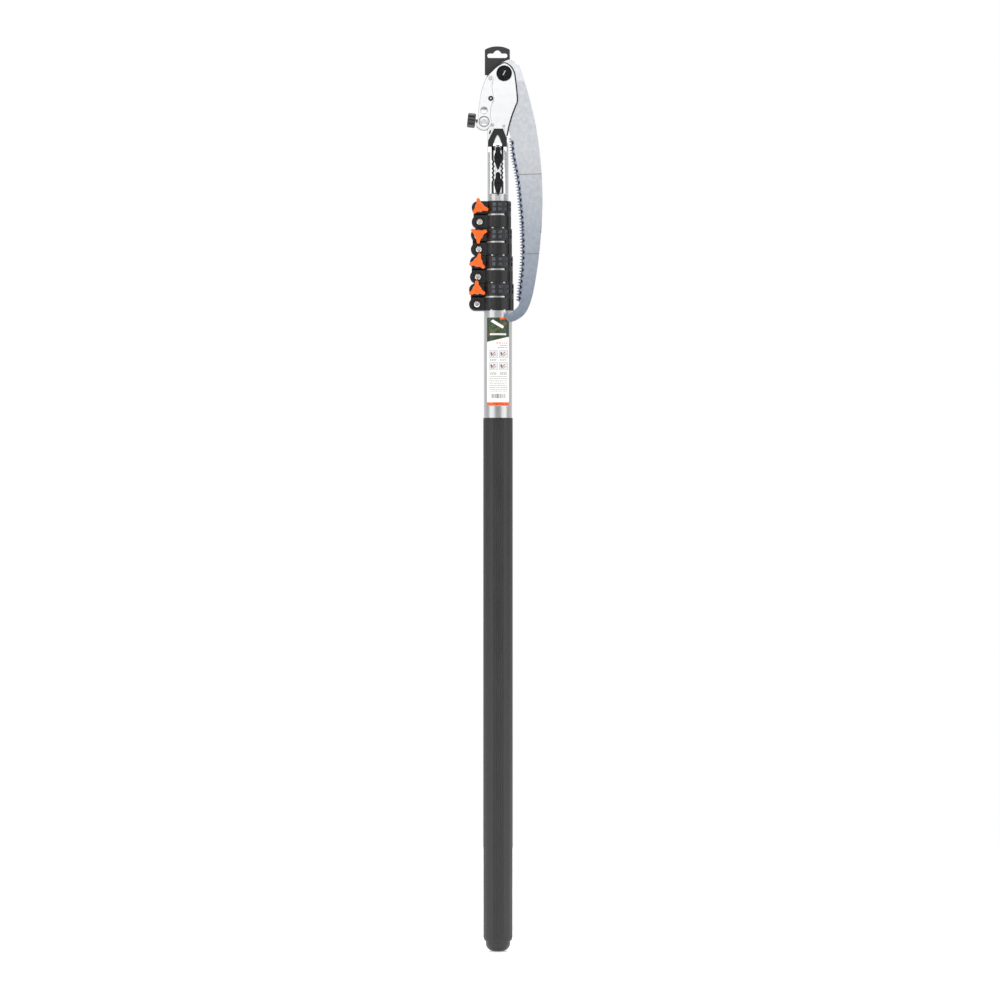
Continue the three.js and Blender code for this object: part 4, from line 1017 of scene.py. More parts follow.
def build_collar(n, tree):
    low, high = span(f"collar_{n}")
    outer, height = high.x, high.z - low.z
    seat, slide = tube_radius(n) + FIT_GAP / 2, tube_radius(n + 1) + 0.325
    bolt, far, edge = bolt_x(n), 70.0, 0.7
    body = turned(f"collar_{n}_body", [
        (0, 0), (outer - edge, 0), (outer - 0.2, 0.2), (outer, edge), (outer, height - edge),
        (outer - 0.2, height - 0.2), (outer - edge, height), (0, height),
    ])
    combine(body, [collar_ears(n)], "UNION")
    bores = turned("bores", [
        (0, -1), (seat, -1), (seat, SLOT[1]), (slide, SLOT[1]), (slide, height + 1), (0, height + 1)])
    half_split, slot_end = 1.5, 9.4
    split = block("split", (-far, -half_split, -1), (1 - slide, half_split, height + 1))
    slot = block("slot", (-far, -far, SLOT[0]), (slot_end, -half_split, SLOT[1]))
    relief_hole = round_hole(2.1, slot_end + 1.6, sum(SLOT) / 2, -far, -5)
    combine(body, [bores, split, slot, relief_hole], "DIFFERENCE")
    combine(body, [pocket_cutters(outer, tree), collar_grooves(outer, seat)], "DIFFERENCE")
    recess, recess_floor, screw_hole, screw_end = 7.6, 2.6 - EAR_FACE, 2.7, EAR_FACE - 3
    pocket = turned_y("recess", [(0, -far), (recess, -far), (recess, recess_floor), (screw_hole, recess_floor),
                                 (screw_hole, screw_end), (0, screw_end)], bolt, SCREW_Z, 48)
    nut = prism("nut", hexagon(10.2, bolt, BOLT_Z), EAR_FACE - 4.9, far)
    combine(body, [pocket, round_hole(STUD_HOLE, bolt, BOLT_Z, -far, far), nut], "DIFFERENCE")
    # A round line is pressed into each lobe.
    inside, outside, before, line_floor = 8.7, 9.1, -EAR_FACE - 1, 0.35 - EAR_FACE
    for z in (SCREW_Z, BOLT_Z):
        line = [(inside, before), (outside, before), (outside, line_floor), (inside, line_floor)]
        combine(body, [turned_y("ring", line, bolt, z, 48)], "DIFFERENCE")
    highest = outer - bpy.context.scene.pole_saw_pole.pocket_depth + 0.2
    lowest, squareness, upright = outer - 2.6, 0.98, 0.1

    def painted_light_floor(face):
        """Whether a face lies at the bottom of a pocket, which gets the lighter painted light."""
        across, along = Vector(face.center.xy), face.center.z
        facing = abs(face.normal.xy.dot(across.normalized())) > squareness and abs(face.normal.z) < upright
        return along > SLOT[1] and facing and lowest < across.length < highest

    # The pocket floors get a lighter grey as painted light, standing in for the light they catch.
    paint(body, [black_nylon(), nylon_painted_light()], painted_light_floor)
    settle(lift(body, low.z), None, BODIES[n - 1], "black_nylon", f"collar_{n}")


def wing_outline(turn):
    """Three tapering wings on a round hub, as a curve through angles and radii that repeat per wing."""
    tip, corner, flank, root, hub, half_width = 14.4, 13.8, 11.6, 8.8, 7.0, 2.3
    lean = math.degrees(math.asin(half_width / tip))
    one_wing = (
        (-lean * 1.5, flank), (-lean, corner), (-lean / 2, tip), (lean / 2, tip), (lean, corner),
        (lean * 1.5, flank), (23, root), (40, hub), (60, hub + 0.2), (80, hub), (97, root))
    loop = [rim_point(0, 0, radius, turn + wing * 120 + angle)
            for wing in range(3) for angle, radius in one_wing]
    return spline(loop + loop[:1], 132)[:-1]


def thread(root, crest, first, last):
    """The zigzag of a thread as [radius, depth] pairs, one turn per millimetre."""
    ridges = []
    depth = first
    while depth < last:
        ridges += [(root, depth), (crest, depth + 0.5)]
        depth += 1
    return ridges


def washer_profile(hole, rim, near, far, edge=0.2):
    """A flat ring whose outer rims are bevelled."""
    return [(hole, near), (rim - edge, near), (rim, near + edge), (rim, far - edge), (rim - edge, far),
            (hole, far)]


def build_knob(n):
    """Wing knob, stud and washer on one clamp bolt."""
    x, z = bolt_x(n), collar_bottom(n) + BOLT_Z
    front, back = depths(f"wing_knob_{n}")
    wing_back = front + 6.6
    wings = loft(f"wing_knob_{n}_body", [wing_outline(KNOB_TURNS[n - 1])],
                 [(1.1, front), (0.5, front + 0.3), (0.1, front + 1), (0, front + 1.8), (0.15, wing_back - 0.4),
                  (0.5, wing_back)])
    hub_radius = 6.85
    hub = turned_y("hub", [(0, wing_back - 2), (hub_radius, wing_back - 2), (hub_radius, back - 0.4),
                           (hub_radius - 0.25, back), (0, back)])
    dish = turned_y("dish", [(0, front - 1), (4.1, front - 1), (3.7, front + 0.5), (0, front + 0.6)], steps=48)
    combine(wings, [hub], "UNION")
    combine(wings, [round_hole(STUD_HOLE, 0, 0, wing_back - 4, 0), dish], "DIFFERENCE")
    settle(placed(wings, x, z), orange_nylon(), f"knob_{n}", "orange_nylon", f"wing_knob_{n}")
    front, back = depths(f"clamp_stud_{n}")
    crest, end, thread_start = 2.9, 2.6, 3.0
    profile = [(0, front), (end, front), (crest, front + 0.3)]
    profile += thread(2.55, crest, thread_start, back - 0.5) + [(end, back), (0, back)]
    stud = turned_y(f"clamp_stud_{n}_body", profile, x, z, 40)
    settle(stud, zinc_steel(), f"knob_{n}", "zinc_steel", f"clamp_stud_{n}")
    front, back = depths(f"knob_washer_{n}")
    washer = turned_y(f"knob_washer_{n}_body", washer_profile(STUD_HOLE, 7.6, front, back), x, z)
    settle(washer, zinc_steel(), f"knob_travel_{n}", "zinc_steel", f"knob_washer_{n}")


def build_fasteners(n):
    """The captive nut and the cross-recessed screw of one collar."""
    x, z, body = bolt_x(n), collar_bottom(n) + BOLT_Z, BODIES[n - 1]
    front, back = depths(f"clamp_nut_{n}")
    sides = [hexagon(9.6, x, z), circle(STUD_HOLE, x, z)]
    nut = loft(f"clamp_nut_{n}_body", sides, rounded(front, back, 0.4, 2))
    settle(nut, zinc_steel(), body, "zinc_steel", f"clamp_nut_{n}")
    front, back = depths(f"collar_screw_{n}")
    head, head_back, shank, chamfer = 5.3, front + 3, 2.4, 0.4
    screw = turned_y(f"collar_screw_{n}_body", [
        (0, front), (head - 1.9, front), (head - 0.9, front + 0.35), (head - 0.2, front + 1.1),
        (head, front + 1.9), (head, head_back), (shank, head_back), (shank, back - chamfer),
        (shank - chamfer, back), (0, back)])
    arm, reach, deep = 0.85, 3.3, 1.5
    cross = [block("arm", (-across, front - 1, -along), (across, front + deep, along))
             for across, along in ((reach, arm), (arm, reach))]
    combine(screw, cross, "DIFFERENCE")
    # Every screw was left standing at its own angle.
    placed(screw, x, collar_bottom(n) + SCREW_Z, 20 + 31 * n)
    settle(screw, zinc_steel(), body, "zinc_steel", f"collar_screw_{n}")


# ---- saw head ----------------------------------------------------------------------------------------

PIVOT = (9.84, 1401.5)
LEVER_PIVOT = (-11.5, 1361.3)
NOSE_PIN = (-12.2, 1392.5)
BARREL = (-22.1, 1324.5)
RIVETS = ((-8.4, 1319.0), (9.4, 1317.5))
REAR_CHEEK = (-21.55, -19.55)
TROUGH_BOTTOM, TUBE_TOP = 1210.4, 1288.0
PIVOT_HOLE, LEVER_PIN_HOLE, BUSH_HOLE = 4.3, 2.7, 6.2
BORE = 17.1
TROUGH_FLOOR, TROUGH_RAIL, TROUGH_HALF = BORE + 1.4, BORE + 3.2, 16.4

# Outlines hold x and z in millimetres.
CHEEK_CROWN = (
    (-16.4, 1397.6), (-4.6, 1409.2), (1.5, 1413.6), (6.8, 1416.8), (11, 1417.4), (16, 1415.3), (21, 1411),
    (25.2, 1403), (27, 1393), (29.9, 1366.4), (29.7, 1355.6), (27, 1349), (21.1, 1333), (16.6, 1317),
    (13.4, 1301.4),
)
CROWN_STEPS = 84
CHEEK_LEFT = ((-16.6, 1314), (-12.8, 1317.4), (-12.8, 1346), (-18, 1352), (-20, 1375), (-19.6, 1394.6))


def outline_of(pairs):
    return [Vector(p) for p in pairs]


def rivet_holes():
    return [round_hole(2.4, *place) for place in RIVETS]


def cheek_cutters():
    """Holes for the pivot, the lever pin and the rivets, and the notch for the nose pin."""
    x, z, half = *NOSE_PIN, 2.8
    notch = block("notch", (-24.2, -60, z - half), (x + half, 0, z + half))
    return [round_hole(PIVOT_HOLE, *PIVOT), round_hole(LEVER_PIN_HOLE, *LEVER_PIVOT), *rivet_holes(), notch]


def edge_round():
    return bpy.context.scene.pole_saw_head.edge_round


def painted_shade_rims(piece):
    """Bright faces, and rims painted dark grey as painted shade that outlines them; a face that leans more than
    20 degrees off the flat is rim.
    """
    paint(piece, [chrome_plate(), rim_painted_shade()], lambda face: abs(face.normal.y) < math.cos(math.radians(20)))


def build_front_cheek():
    outline = spline(CHEEK_CROWN, CROWN_STEPS)
    outline += outline_of([(12.4, 1300.8), (7.7, 1313), (-6.2, 1313), (-15.4, 1294), (-16.6, 1294)])
    outline += outline_of(CHEEK_LEFT)
    slit_centre, slit_turn = Vector((-12.7, 1307.8)), Matrix.Rotation(math.radians(-18), 2)
    slit = [slit_centre + slit_turn @ Vector((0.9 * p.x, 3.2 * p.y)) for p in circle(1, steps=24)]
    cheek = loft("front_cheek_body", [outline, slit], rounded(*depths("front_cheek"), edge_round()))
    combine(cheek, cheek_cutters(), "DIFFERENCE")
    # The cheek's rims get the dark painted shade that outlines the plate.
    painted_shade_rims(cheek)
    settle(cheek, None, "section_5", "polished_head", "front_cheek")


def channel_outline(inset):
    """The channel down the saddle, with zigzag edges between the two clamp bolts."""
    pitch, depth = 7.1, 1.9
    low, high = TROUGH_BOTTOM - 1 + inset, TUBE_TOP + 6
    left_edge, right_edge = -10.4 + inset, 8.9 - inset
    left, right = [], []
    z, zigzag_top, i = 1229.4, 1266, 0
    while z < zigzag_top:
        reach = depth if i % 2 else 0
        left.append((left_edge + reach, z))
        right.append((right_edge - reach, z))
        z += pitch / 2
        i += 1
    return outline_of([(right_edge, low), *right, (right_edge, high), (left_edge, high), *reversed(left),
                       (left_edge, low)])


def wedge(x0, x1, profile):
    """A y, z outline that runs along X."""
    made = loft("wedge", [[Vector((-y, z)) for y, z in profile]], [(0, x0), (0, x1)])
    made.data.transform(Matrix.Rotation(-math.pi / 2, 4, "Z"))
    return made


def build_bracket():
    """The rear cheek, a trough with rails that lies on the tube, and the slopes that join them."""
    front, back = REAR_CHEEK
    outline = spline(CHEEK_CROWN, CROWN_STEPS) + outline_of([(13.4, 1290), (-16.6, 1290), *CHEEK_LEFT])
    bracket = loft("head_bracket_body", [outline], rounded(front, back, edge_round()))
    top = TUBE_TOP + 4
    half_floor = math.degrees(math.asin(TROUGH_HALF / TROUGH_FLOOR))
    half_rail = math.degrees(math.asin(TROUGH_HALF / TROUGH_RAIL))
    saddle = front_arc("saddle", BORE, TROUGH_FLOOR, half_floor, TROUGH_BOTTOM, top, 0.2)
    rails = front_arc("rails", BORE + 0.5, TROUGH_RAIL, half_rail, TROUGH_BOTTOM, top, 0.3)
    combine(rails, [prism("channel", channel_outline(0), -40, 0)], "DIFFERENCE")
    centre = [(front, 1291), (front, 1296), (back + 3, 1296), (1 - BORE, 1286.6), (-TROUGH_FLOOR, 1286.6)]
    flank = [(front, 1290.4), (front, 1295), (back + 4, 1295), (-10, 1280), (-15.4, 1277)]
    slopes = [wedge(-7.6, 6.1, centre), wedge(-15.6, -10.6, flank), wedge(9.2, 13.2, flank)]
    combine(bracket, [saddle, rails, *slopes], "UNION")
    room = cylinder("room", BORE, TROUGH_BOTTOM - 1, TUBE_TOP + 0.3)
    combine(bracket, [room, *cheek_cutters()], "DIFFERENCE")
    combine(bracket, [round_hole(SADDLE_BOLT_HOLE, 0, z) for z in SADDLE_BOLT_HEIGHTS], "DIFFERENCE")
    settle(bracket, chrome_plate(), "section_5", "polished_head", "head_bracket")


def saddle_outline(bolt_z, grow=0.0, steps=96):
    """The outline of a saddle clamp's plate round its bolt, with a pointed foot."""
    side = ((2.4, -15.6), (5, -7.6), (6.4, -1), (5.6, 4.4), (3.9, 9), (3.9, 13.6), (2.3, 16.8))
    right = [(x + grow, z) for x, z in side]
    left = [(-x, z) for x, z in reversed(right)]
    foot = (0, -20.6 - 2 * grow)
    loop = [foot, *right, (0, 18 + grow), *left, foot]
    return [p + Vector((0, bolt_z)) for p in spline(loop, steps)[:-1]]


def build_spacer():
    """Black nylon between the cheeks, with two legs that run down the channel; the skirt below the front cheek
    and the legs along the channel's zigzag edges are dark sheets placed as painted shade for the shadowed
    slopes and walls.
    """
    front, back = depths("front_cheek")[1] + 0.2, REAR_CHEEK[0] - 0.2
    foot, leg_width, leg_front, leg_top = 1284.6, 2.3, back - 2.2, 1284.7
    outline = outline_of([
        (-12.4, 1322.6), (-12.4, 1316), (-16, 1311), (-16, foot), (-9.2, foot), (-4, 1298.6), (-0.6, 1304.6),
        (2.8, 1298.6), (7.8, foot), (14.2, foot), (14.2, 1300.2), (12, 1300.8), (11.6, 1322.6)])
    peak = loft("cheek_spacer_body", [outline], rounded(front, back, 0.35))

    # The legs are black strips laid inside the channel's zigzag edges: painted shade for the channel's shadowed
    # walls.
    def legs():
        walls = [channel_outline(FIT_GAP), channel_outline(leg_width)]
        return loft("legs", walls, [(0, leg_front), (0, -BORE / 2)])

    room, skin = TROUGH_FLOOR + 0.3, TROUGH_FLOOR + 1.7
    shell = turned("shell", [(room, TROUGH_BOTTOM), (skin, TROUGH_BOTTOM), (skin, leg_top), (room, leg_top)])
    thin = combine(legs(), [shell], "INTERSECT")
    step = combine(legs(), [block("step", (-30, leg_front, 1279.6), (30, -17.4, 1289.8))], "INTERSECT")
    combine(peak, [step, thin], "UNION")
    combine(peak, [cylinder("room", room, 1209, TUBE_TOP + 4.5), *rivet_holes()], "DIFFERENCE")
    clear = [prism("clear", saddle_outline(z, 0.3), -60, 0) for z in SADDLE_BOLT_HEIGHTS]
    combine(peak, clear, "DIFFERENCE")
    settle(peak, black_nylon(), "section_5", "black_nylon", "cheek_spacer")


def build_liner(node):
    """A nylon sheet between a cheek and the blade that stands proud of the cheek's crown."""
    crown = spline(CHEEK_CROWN, CROWN_STEPS)
    proud = 1.95
    moved = inset_loop(crown, [proud] * len(crown))[1:-1]
    tail = outline_of([(12.6, 1301.6), (12.6, 1324), (-6.4, 1324), (-6.4, 1376), (-9.4, 1386), (-17.6, 1396.6)])
    liner = loft(f"{node}_body", [moved + tail], rounded(*depths(node), 0.25))
    combine(liner, [round_hole(BUSH_HOLE, *PIVOT)], "DIFFERENCE")
    settle(liner, black_nylon(), "section_5", "black_nylon", node)


SPINE = ((33.4, 1415), (40.8, 1393.6), (52.8, 1352), (62.4, 1307.2), (69.1, 1249.6), (71, 1195), (67.5, 1131.8),
         (60.9, 1078), (53.2, 1041), (43.4, 1019.5), (30, 1008.6), (18.4, 1004.8))
TOOTH_LINE = ((16.6, 1297.1), (19.2, 1270.7), (26.7, 1230.2), (30.6, 1192), (33.3, 1160.5), (34.6, 1121.6),
              (33.9, 1096.2), (31, 1067.5), (28.2, 1041))
LINE_STEPS = 240
HOOK = ((18.4, 1004.8), (14.6, 1007.8), (13.1, 1012.6), (13, 1017.6), (13.6, 1021))
THROAT = ((17.2, 1017.2), (22.7, 1021.6), (30.6, 1028.6), (33.6, 1034), (33.6, 1038.4))
FOLDED_NOTCH = math.degrees(math.atan2(NOSE_PIN[1] - PIVOT[1], NOSE_PIN[0] - PIVOT[0])) + 360
TANG_RIM = ((236, 19), (222, 23.4), (FOLDED_NOTCH + 7, 25.4), (FOLDED_NOTCH, 21.2), (FOLDED_NOTCH - 7, 25.2),
            (186, 24), (172, 17.6), (150, 15.4), (120, 16), (96, 18.4), (84, 20.4), (74, 22.8), (62, 24.9),
            (52, 25.6), (45.5, 25.2), (FOLDED_NOTCH - 162, 22.4), (36, 25.2))


def even_points(line, count):
    """Points at equal steps along a polyline."""
    lengths = [0.0]
    for a, b in zip(line, line[1:]):
        lengths.append(lengths[-1] + (b - a).length)
    made, at = [], 0
    for i in range(count + 1):
        goal = lengths[-1] * i / count
        while at < len(line) - 2 and lengths[at + 1] < goal:
            at += 1
        share = (goal - lengths[at]) / max(lengths[at + 1] - lengths[at], 1e-9)
        made.append(line[at].lerp(line[at + 1], min(share, 1.0)))
    return made


def tooth(name, pitch, mirror):
    """One tooth, tip at the origin and rooted towards +Z, with a wide ground facet on one flank."""
    settings = bpy.context.scene.pole_saw_head
    depth, half = settings.tooth_depth, pitch / 2
    root = depth + 1.1
    contour = outline_of([(0, 0), (half, depth), (half, root), (-half, root), (-half, depth)])
    weights = [0.55, 0.15, 0.0, 0.0, 1.0] if mirror else [0.55, 1.0, 0.0, 0.0, 0.15]
    thick, edge = 0.66, 0.12
    profile = [(settings.tooth_bevel, -thick), (0, -edge), (0, edge), (settings.tooth_bevel, thick)]
    made = loft(name, [contour], profile, weights)
    made.data.shade_flat()
    side = -1 if mirror else 1
    facet = made.data.attributes.new("facet", "FLOAT", "FACE")
    for face in made.data.polygons:
        facet.data[face.index].value = float(face.normal.x * side > 0.05)
    return made


def grind_facets(body, front, back):
    """Splits the ground band beside the teeth into facets, every second one hardened dark."""
    bm = bmesh.new()
    bm.from_mesh(body.data)
    facet = bm.faces.layers.float.new("facet")
    tooth_top, smallest = 1300, 9.0
    band = [face for face in bm.faces if len(face.verts) == 4 and 0.02 < abs(face.normal.y) < 0.9999
            and face.calc_area() > smallest and face.calc_center_median().z < tooth_top]
    band.sort(key=lambda face: (face.normal.y > 0, face.calc_center_median().z))
    for number, face in enumerate(band):
        ends = sorted(face.verts, key=lambda v: v.co.z)
        outer = [v for v in ends if front - 0.01 < v.co.y < back + 0.01]
        inner = [v for v in ends if v not in outer]
        if len(outer) == len(inner) == 2:
            other = bmesh.utils.face_split(face, outer[number % 2], inner[1 - number % 2])[0]
            for half in (face, other):
                half.material_index, half.smooth = 1, False
                half[facet] = float(sum(v in outer for v in half.verts) == 2)
    bm.to_mesh(body.data)
    bm.free()
    kept = [face.material_index for face in body.data.polygons]
    paint(body, [blade_steel(), tooth_steel()], lambda face: kept[face.index])


def build_blade():
    settings = bpy.context.scene.pole_saw_head
    low, high = span("saw_blade")
    line = spline(TOOTH_LINE, LINE_STEPS)
    length = sum((b - a).length for a, b in zip(line, line[1:]))
    count = round(length / settings.tooth_pitch)
    root_line = []
    marks = even_points(line, count)
    for before, after in zip(marks, marks[1:]):
        along = (after - before).normalized()
        root_line.append(before.lerp(after, 0.5) + Vector((-along.y, along.x)) * settings.tooth_depth)
    # Each stretch of the outline has the grind's weight at its start and at its end.
    sections = (
        (spline(SPINE, 90), 0.5, 2.25), (spline(HOOK, 16)[1:], 0.12, 0.12), (spline(THROAT, 20), 0.1, 0.1),
        (list(reversed(root_line)), 5.0, 5.0), (outline_of([(9.6, 1340)]), 0.1, 0.1),
        ([rim_point(*PIVOT, radius, angle) for angle, radius in TANG_RIM], 0.1, 0.1),
    )
    contour, weights = [], []
    for points, first, last in sections:
        contour += points
        weights += [first + (last - first) * i / max(len(points) - 1, 1) for i in range(len(points))]
    if signed_area(contour) < 0:
        contour.reverse()
        weights.reverse()
    grind, step = 0.8, 0.25
    front, back = low.y + step, high.y - step
    body = loft("saw_blade_body", [contour], [(grind, low.y), (0, front), (0, back), (grind, high.y)], weights)
    combine(body, [round_hole(BUSH_HOLE, *PIVOT)], "DIFFERENCE")
    grind_facets(body, front, back)
    settle(body, None, "blade", "blade_steel", "saw_blade")
    bm = bmesh.new()
    centre = (low.y + high.y) / 2
    verts = [bm.verts.new((p.x, centre, p.y)) for p in even_points(line, LINE_STEPS)]
    for a, b in zip(verts, verts[1:]):
        bm.edges.new((a, b))
    pitch = length / count
    kinds = [tooth("even_tooth", pitch, False), tooth("odd_tooth", pitch, True)]
    row = run_nodes(new_object("saw_teeth", bm), tooth_row_tree(), {
        "Count": count + 1, "Even tooth": kinds[0], "Odd tooth": kinds[1], "Material": tooth_steel()})
    for kind in kinds:
        bpy.data.objects.remove(kind)
    settle(row, tooth_steel(), "blade", "blade_steel")


def build_pivot():
    """A flanged nut in front, and a bolt whose slotted end shows in the middle of it."""
    front, back = depths("pivot_nut")
    base, rim, thread_hole, widest = back - 2.4, back - 3.6, 4.2, 12.4
    flange = turned_y("pivot_nut_body", [
        (thread_hole, back), (widest - 0.4, back), (widest, back - 0.4), (widest, rim + 0.4), (12.1, rim),
        (10.95, rim), (10.6, rim + 0.35), (10.4, base + 0.3), (10.1, base), (thread_hole, base)], *PIVOT, ROUND)
    sides = [hexagon(13, *PIVOT), circle(thread_hole, *PIVOT)]
    nut = loft("hex", sides, [(0, base + 0.5), (0, front + 0.8), (0.3, front + 0.3), (1.0, front)])
    combine(flange, [nut], "UNION")
    settle(flange, black_steel(), "section_5", "black_steel", "pivot_nut")
    front, back = depths("pivot_bolt")
    head, shank, head_rim = back - 3.8, 4, 9
    bolt = turned_y("pivot_bolt_body", [
        (0, front), (shank - 0.5, front), (shank, front + 0.5), (shank, head), (head_rim - 0.3, head),
        (head_rim, head + 0.3), (head_rim, head + 2.1), (head_rim - 0.3, head + 2.4), (7, head + 2.4),
        (6.4, back), (0, back)])
    combine(bolt, [block("slot", (-0.7, front - 1, -5), (0.7, front + 1.1, 5))], "DIFFERENCE")
    placed(bolt, *PIVOT, 28)
    # Its end face is blackened like the nut; the rest is zinc plated.
    paint(bolt, [black_steel(), zinc_steel()], lambda face: face.center.y > front + 0.3)
    settle(bolt, None, "section_5", "zinc_steel", "pivot_bolt")


LEVER_OUTLINE = (
    (-14.4, 1397.6), (-17.8, 1395.4), (-21.4, 1388), (-25.3, 1377.6), (-28.3, 1362.2), (-31.2, 1341.9),
    (-32.4, 1326), (-34.3, 1318), (-30.4, 1313.3), (-24.8, 1311), (-18.7, 1311.3), (-13.6, 1315.4), (-10.4, 1322), (-12, 1337),
    (-10.2, 1351.5), (-6.4, 1359.8), (-8.8, 1373), (-9.2, 1383), (-7.5, 1391.4), (-9.6, 1396.6),
)
LEVER_SHEET = 1.6
THUMB_TILT = math.radians(6.2)


def on_thumb_axis(piece):
    """Moves a piece made along Z onto the thumb screw's axis, measured from the barrel nut."""
    axis = Vector((-math.cos(THUMB_TILT), 0, math.sin(THUMB_TILT)))
    turn = Vector((0, 0, 1)).rotation_difference(axis).to_matrix().to_4x4()
    piece.data.transform(Matrix.Translation((BARREL[0], middle("saw_blade").y, BARREL[1])) @ turn)
    return piece


def thumb_bar(radius, near, far):
    """A round cutter along the thumb screw's axis."""
    return on_thumb_axis(cylinder("bar", radius, near, far, 48))


def build_lever():
    """Two flanks of sheet steel with a web along their back edge."""
    front, back = depths("lock_lever")
    outline = spline(list(LEVER_OUTLINE) + [LEVER_OUTLINE[0]], 160)[:-1]
    lever = loft("lock_lever_body", [outline, circle(8.2, *BARREL)],
                 rounded(front, front + LEVER_SHEET, edge_round()))
    rear = loft("rear", [outline, circle(5.2, *BARREL)], rounded(back - LEVER_SHEET, back, edge_round()))
    web_outline = outline_of([(-32.9, 1319), (-31, 1343), (-29.4, 1343), (-31.3, 1319)])
    combine(lever, [rear, prism("web", web_outline, front + 0.3, back - 0.3)], "UNION")
    # A round dimple, part of a ball, is pressed into the front flank above the barrel nut.
    dimple, ball, deep = 6.7, 26.0, 0.75
    cap = [(0, front + deep)]
    rise = ball - deep
    cap += [(ball * math.sin(a), front - rise + ball * math.cos(a)) for a in (0.05, 0.1, 0.15, 0.2, 0.25)]
    cap += [(dimple, front - 0.05), (dimple, front - 2), (0, front - 2)]
    cutters = [turned_y("dimple", cap, -22.2, 1342), round_hole(LEVER_PIN_HOLE, *LEVER_PIVOT)]
    cutters += [round_hole(2.0, *NOSE_PIN), thumb_bar(3.4, 4, 14)]
    combine(lever, cutters, "DIFFERENCE")
    # The lever's rims get the dark painted shade that outlines the plate.
    painted_shade_rims(lever)
    settle(lever, None, "lock_lever_assembly", "polished_head", "lock_lever", smooth_angle=math.radians(12))


def build_lever_fittings():
    """The lever's riveted pin, the nose pin that locks the blade and the nut that the thumb screw turns in."""
    flank_front, flank_back = depths("lock_lever")
    gap = 0.2
    near, far = flank_front - gap, flank_back + gap
    front, back = depths("lever_pin")
    head, shank, core = 4.1, 2.5, 1.8
    pin = turned_y("lever_pin_body", [
        (0, front + 1.1), (1.2, front + 1), (1.5, front + 0.3), (2.2, front), (3.6, front), (head, front + 0.5),
        (head, near), (shank, near), (shank, far), (head, far), (head, back - 0.3), (head - 0.3, back),
        (0, back),
    ], *LEVER_PIVOT)
    x, z = LEVER_PIVOT

    def in_core(face):
        """Whether a face lies near the pin's axis, where the rivet's hollow is zinc."""
        return (face.center - Vector((x, face.center.y, z))).length < core

    paint(pin, [black_steel(), zinc_steel()], in_core)
    settle(pin, None, "section_5", "zinc_steel", "lever_pin")
    front, back = depths("nose_pin")
    head, shank = 3.2, 1.8
    nose = turned_y("nose_pin_body", [
        (0, front), (2.5, front), (head, front + 0.3), (head, near), (shank, near), (shank, back - 0.2),
        (shank - 0.2, back), (0, back)], steps=48)
    combine(nose, [block("slot", (-0.6, front - 1, -2.2), (0.6, front + 0.35, 2.2))], "DIFFERENCE")
    settle(placed(nose, *NOSE_PIN, 35), zinc_steel(), "lock_lever_assembly", "zinc_steel", "nose_pin")
    front, back = depths("barrel_nut")
    head, shank, head_back = 8, 5, flank_front + LEVER_SHEET - gap
    barrel = turned_y("barrel_nut_body", [
        (0, front + 0.7), (4.6, front + 0.6), (5.4, front), (7.6, front), (head, front + 0.35),
        (head, head_back), (shank, head_back), (shank, back - 0.3), (shank - 0.3, back), (0, back)], *BARREL)
    combine(barrel, [thumb_bar(3.25, -10, 14)], "DIFFERENCE")
    settle(barrel, zinc_steel(), "lock_lever_assembly", "zinc_steel", "barrel_nut")


def build_thumb_screw():
    """A lobed head, its threaded stem and the washer under the head, all along the tilted axis."""
    lobes, radius, wave, start_at, end_at = 8, 11.6, 0.55, 14.0, 26.55
    contour = []
    for i in range(ROUND):
        angle = 2 * math.pi * i / ROUND
        contour.append(polar(math.degrees(angle), radius - 2 * wave + wave * (1 + math.cos(lobes * angle))))
    head = loft("thumb_knob_body", [contour], rounded(start_at, end_at, 2.0, 5), upright=True)
    bore = cylinder("bore", 3.3, 0, start_at + 8, 48)
    dish = turned("dish", [(0, end_at + 1), (6, end_at + 1), (5, end_at - 0.8), (0, end_at - 0.8)], 48)
    combine(head, [bore, dish], "DIFFERENCE")
    settle(on_thumb_axis(head), black_nylon(), "thumb_screw", "black_nylon", "thumb_knob")
    tip, end, root, crest = -9.2, start_at + 7.6, 2.6, 3
    profile = [(0, tip), (root - 0.2, tip)] + thread(root, crest, tip + 0.6, start_at - 1)
    stem = turned("thumb_stem_body", profile + [(crest, end), (0, end)], 40)
    settle(on_thumb_axis(stem), zinc_steel(), "thumb_screw", "zinc_steel", "thumb_stem")
    near, far = start_at - 1.3, start_at - 0.3
    washer = turned("thumb_washer_body", washer_profile(3.3, 5.6, near, far), 64)
    settle(on_thumb_axis(washer), zinc_steel(), "thumb_travel", "zinc_steel", "thumb_washer")


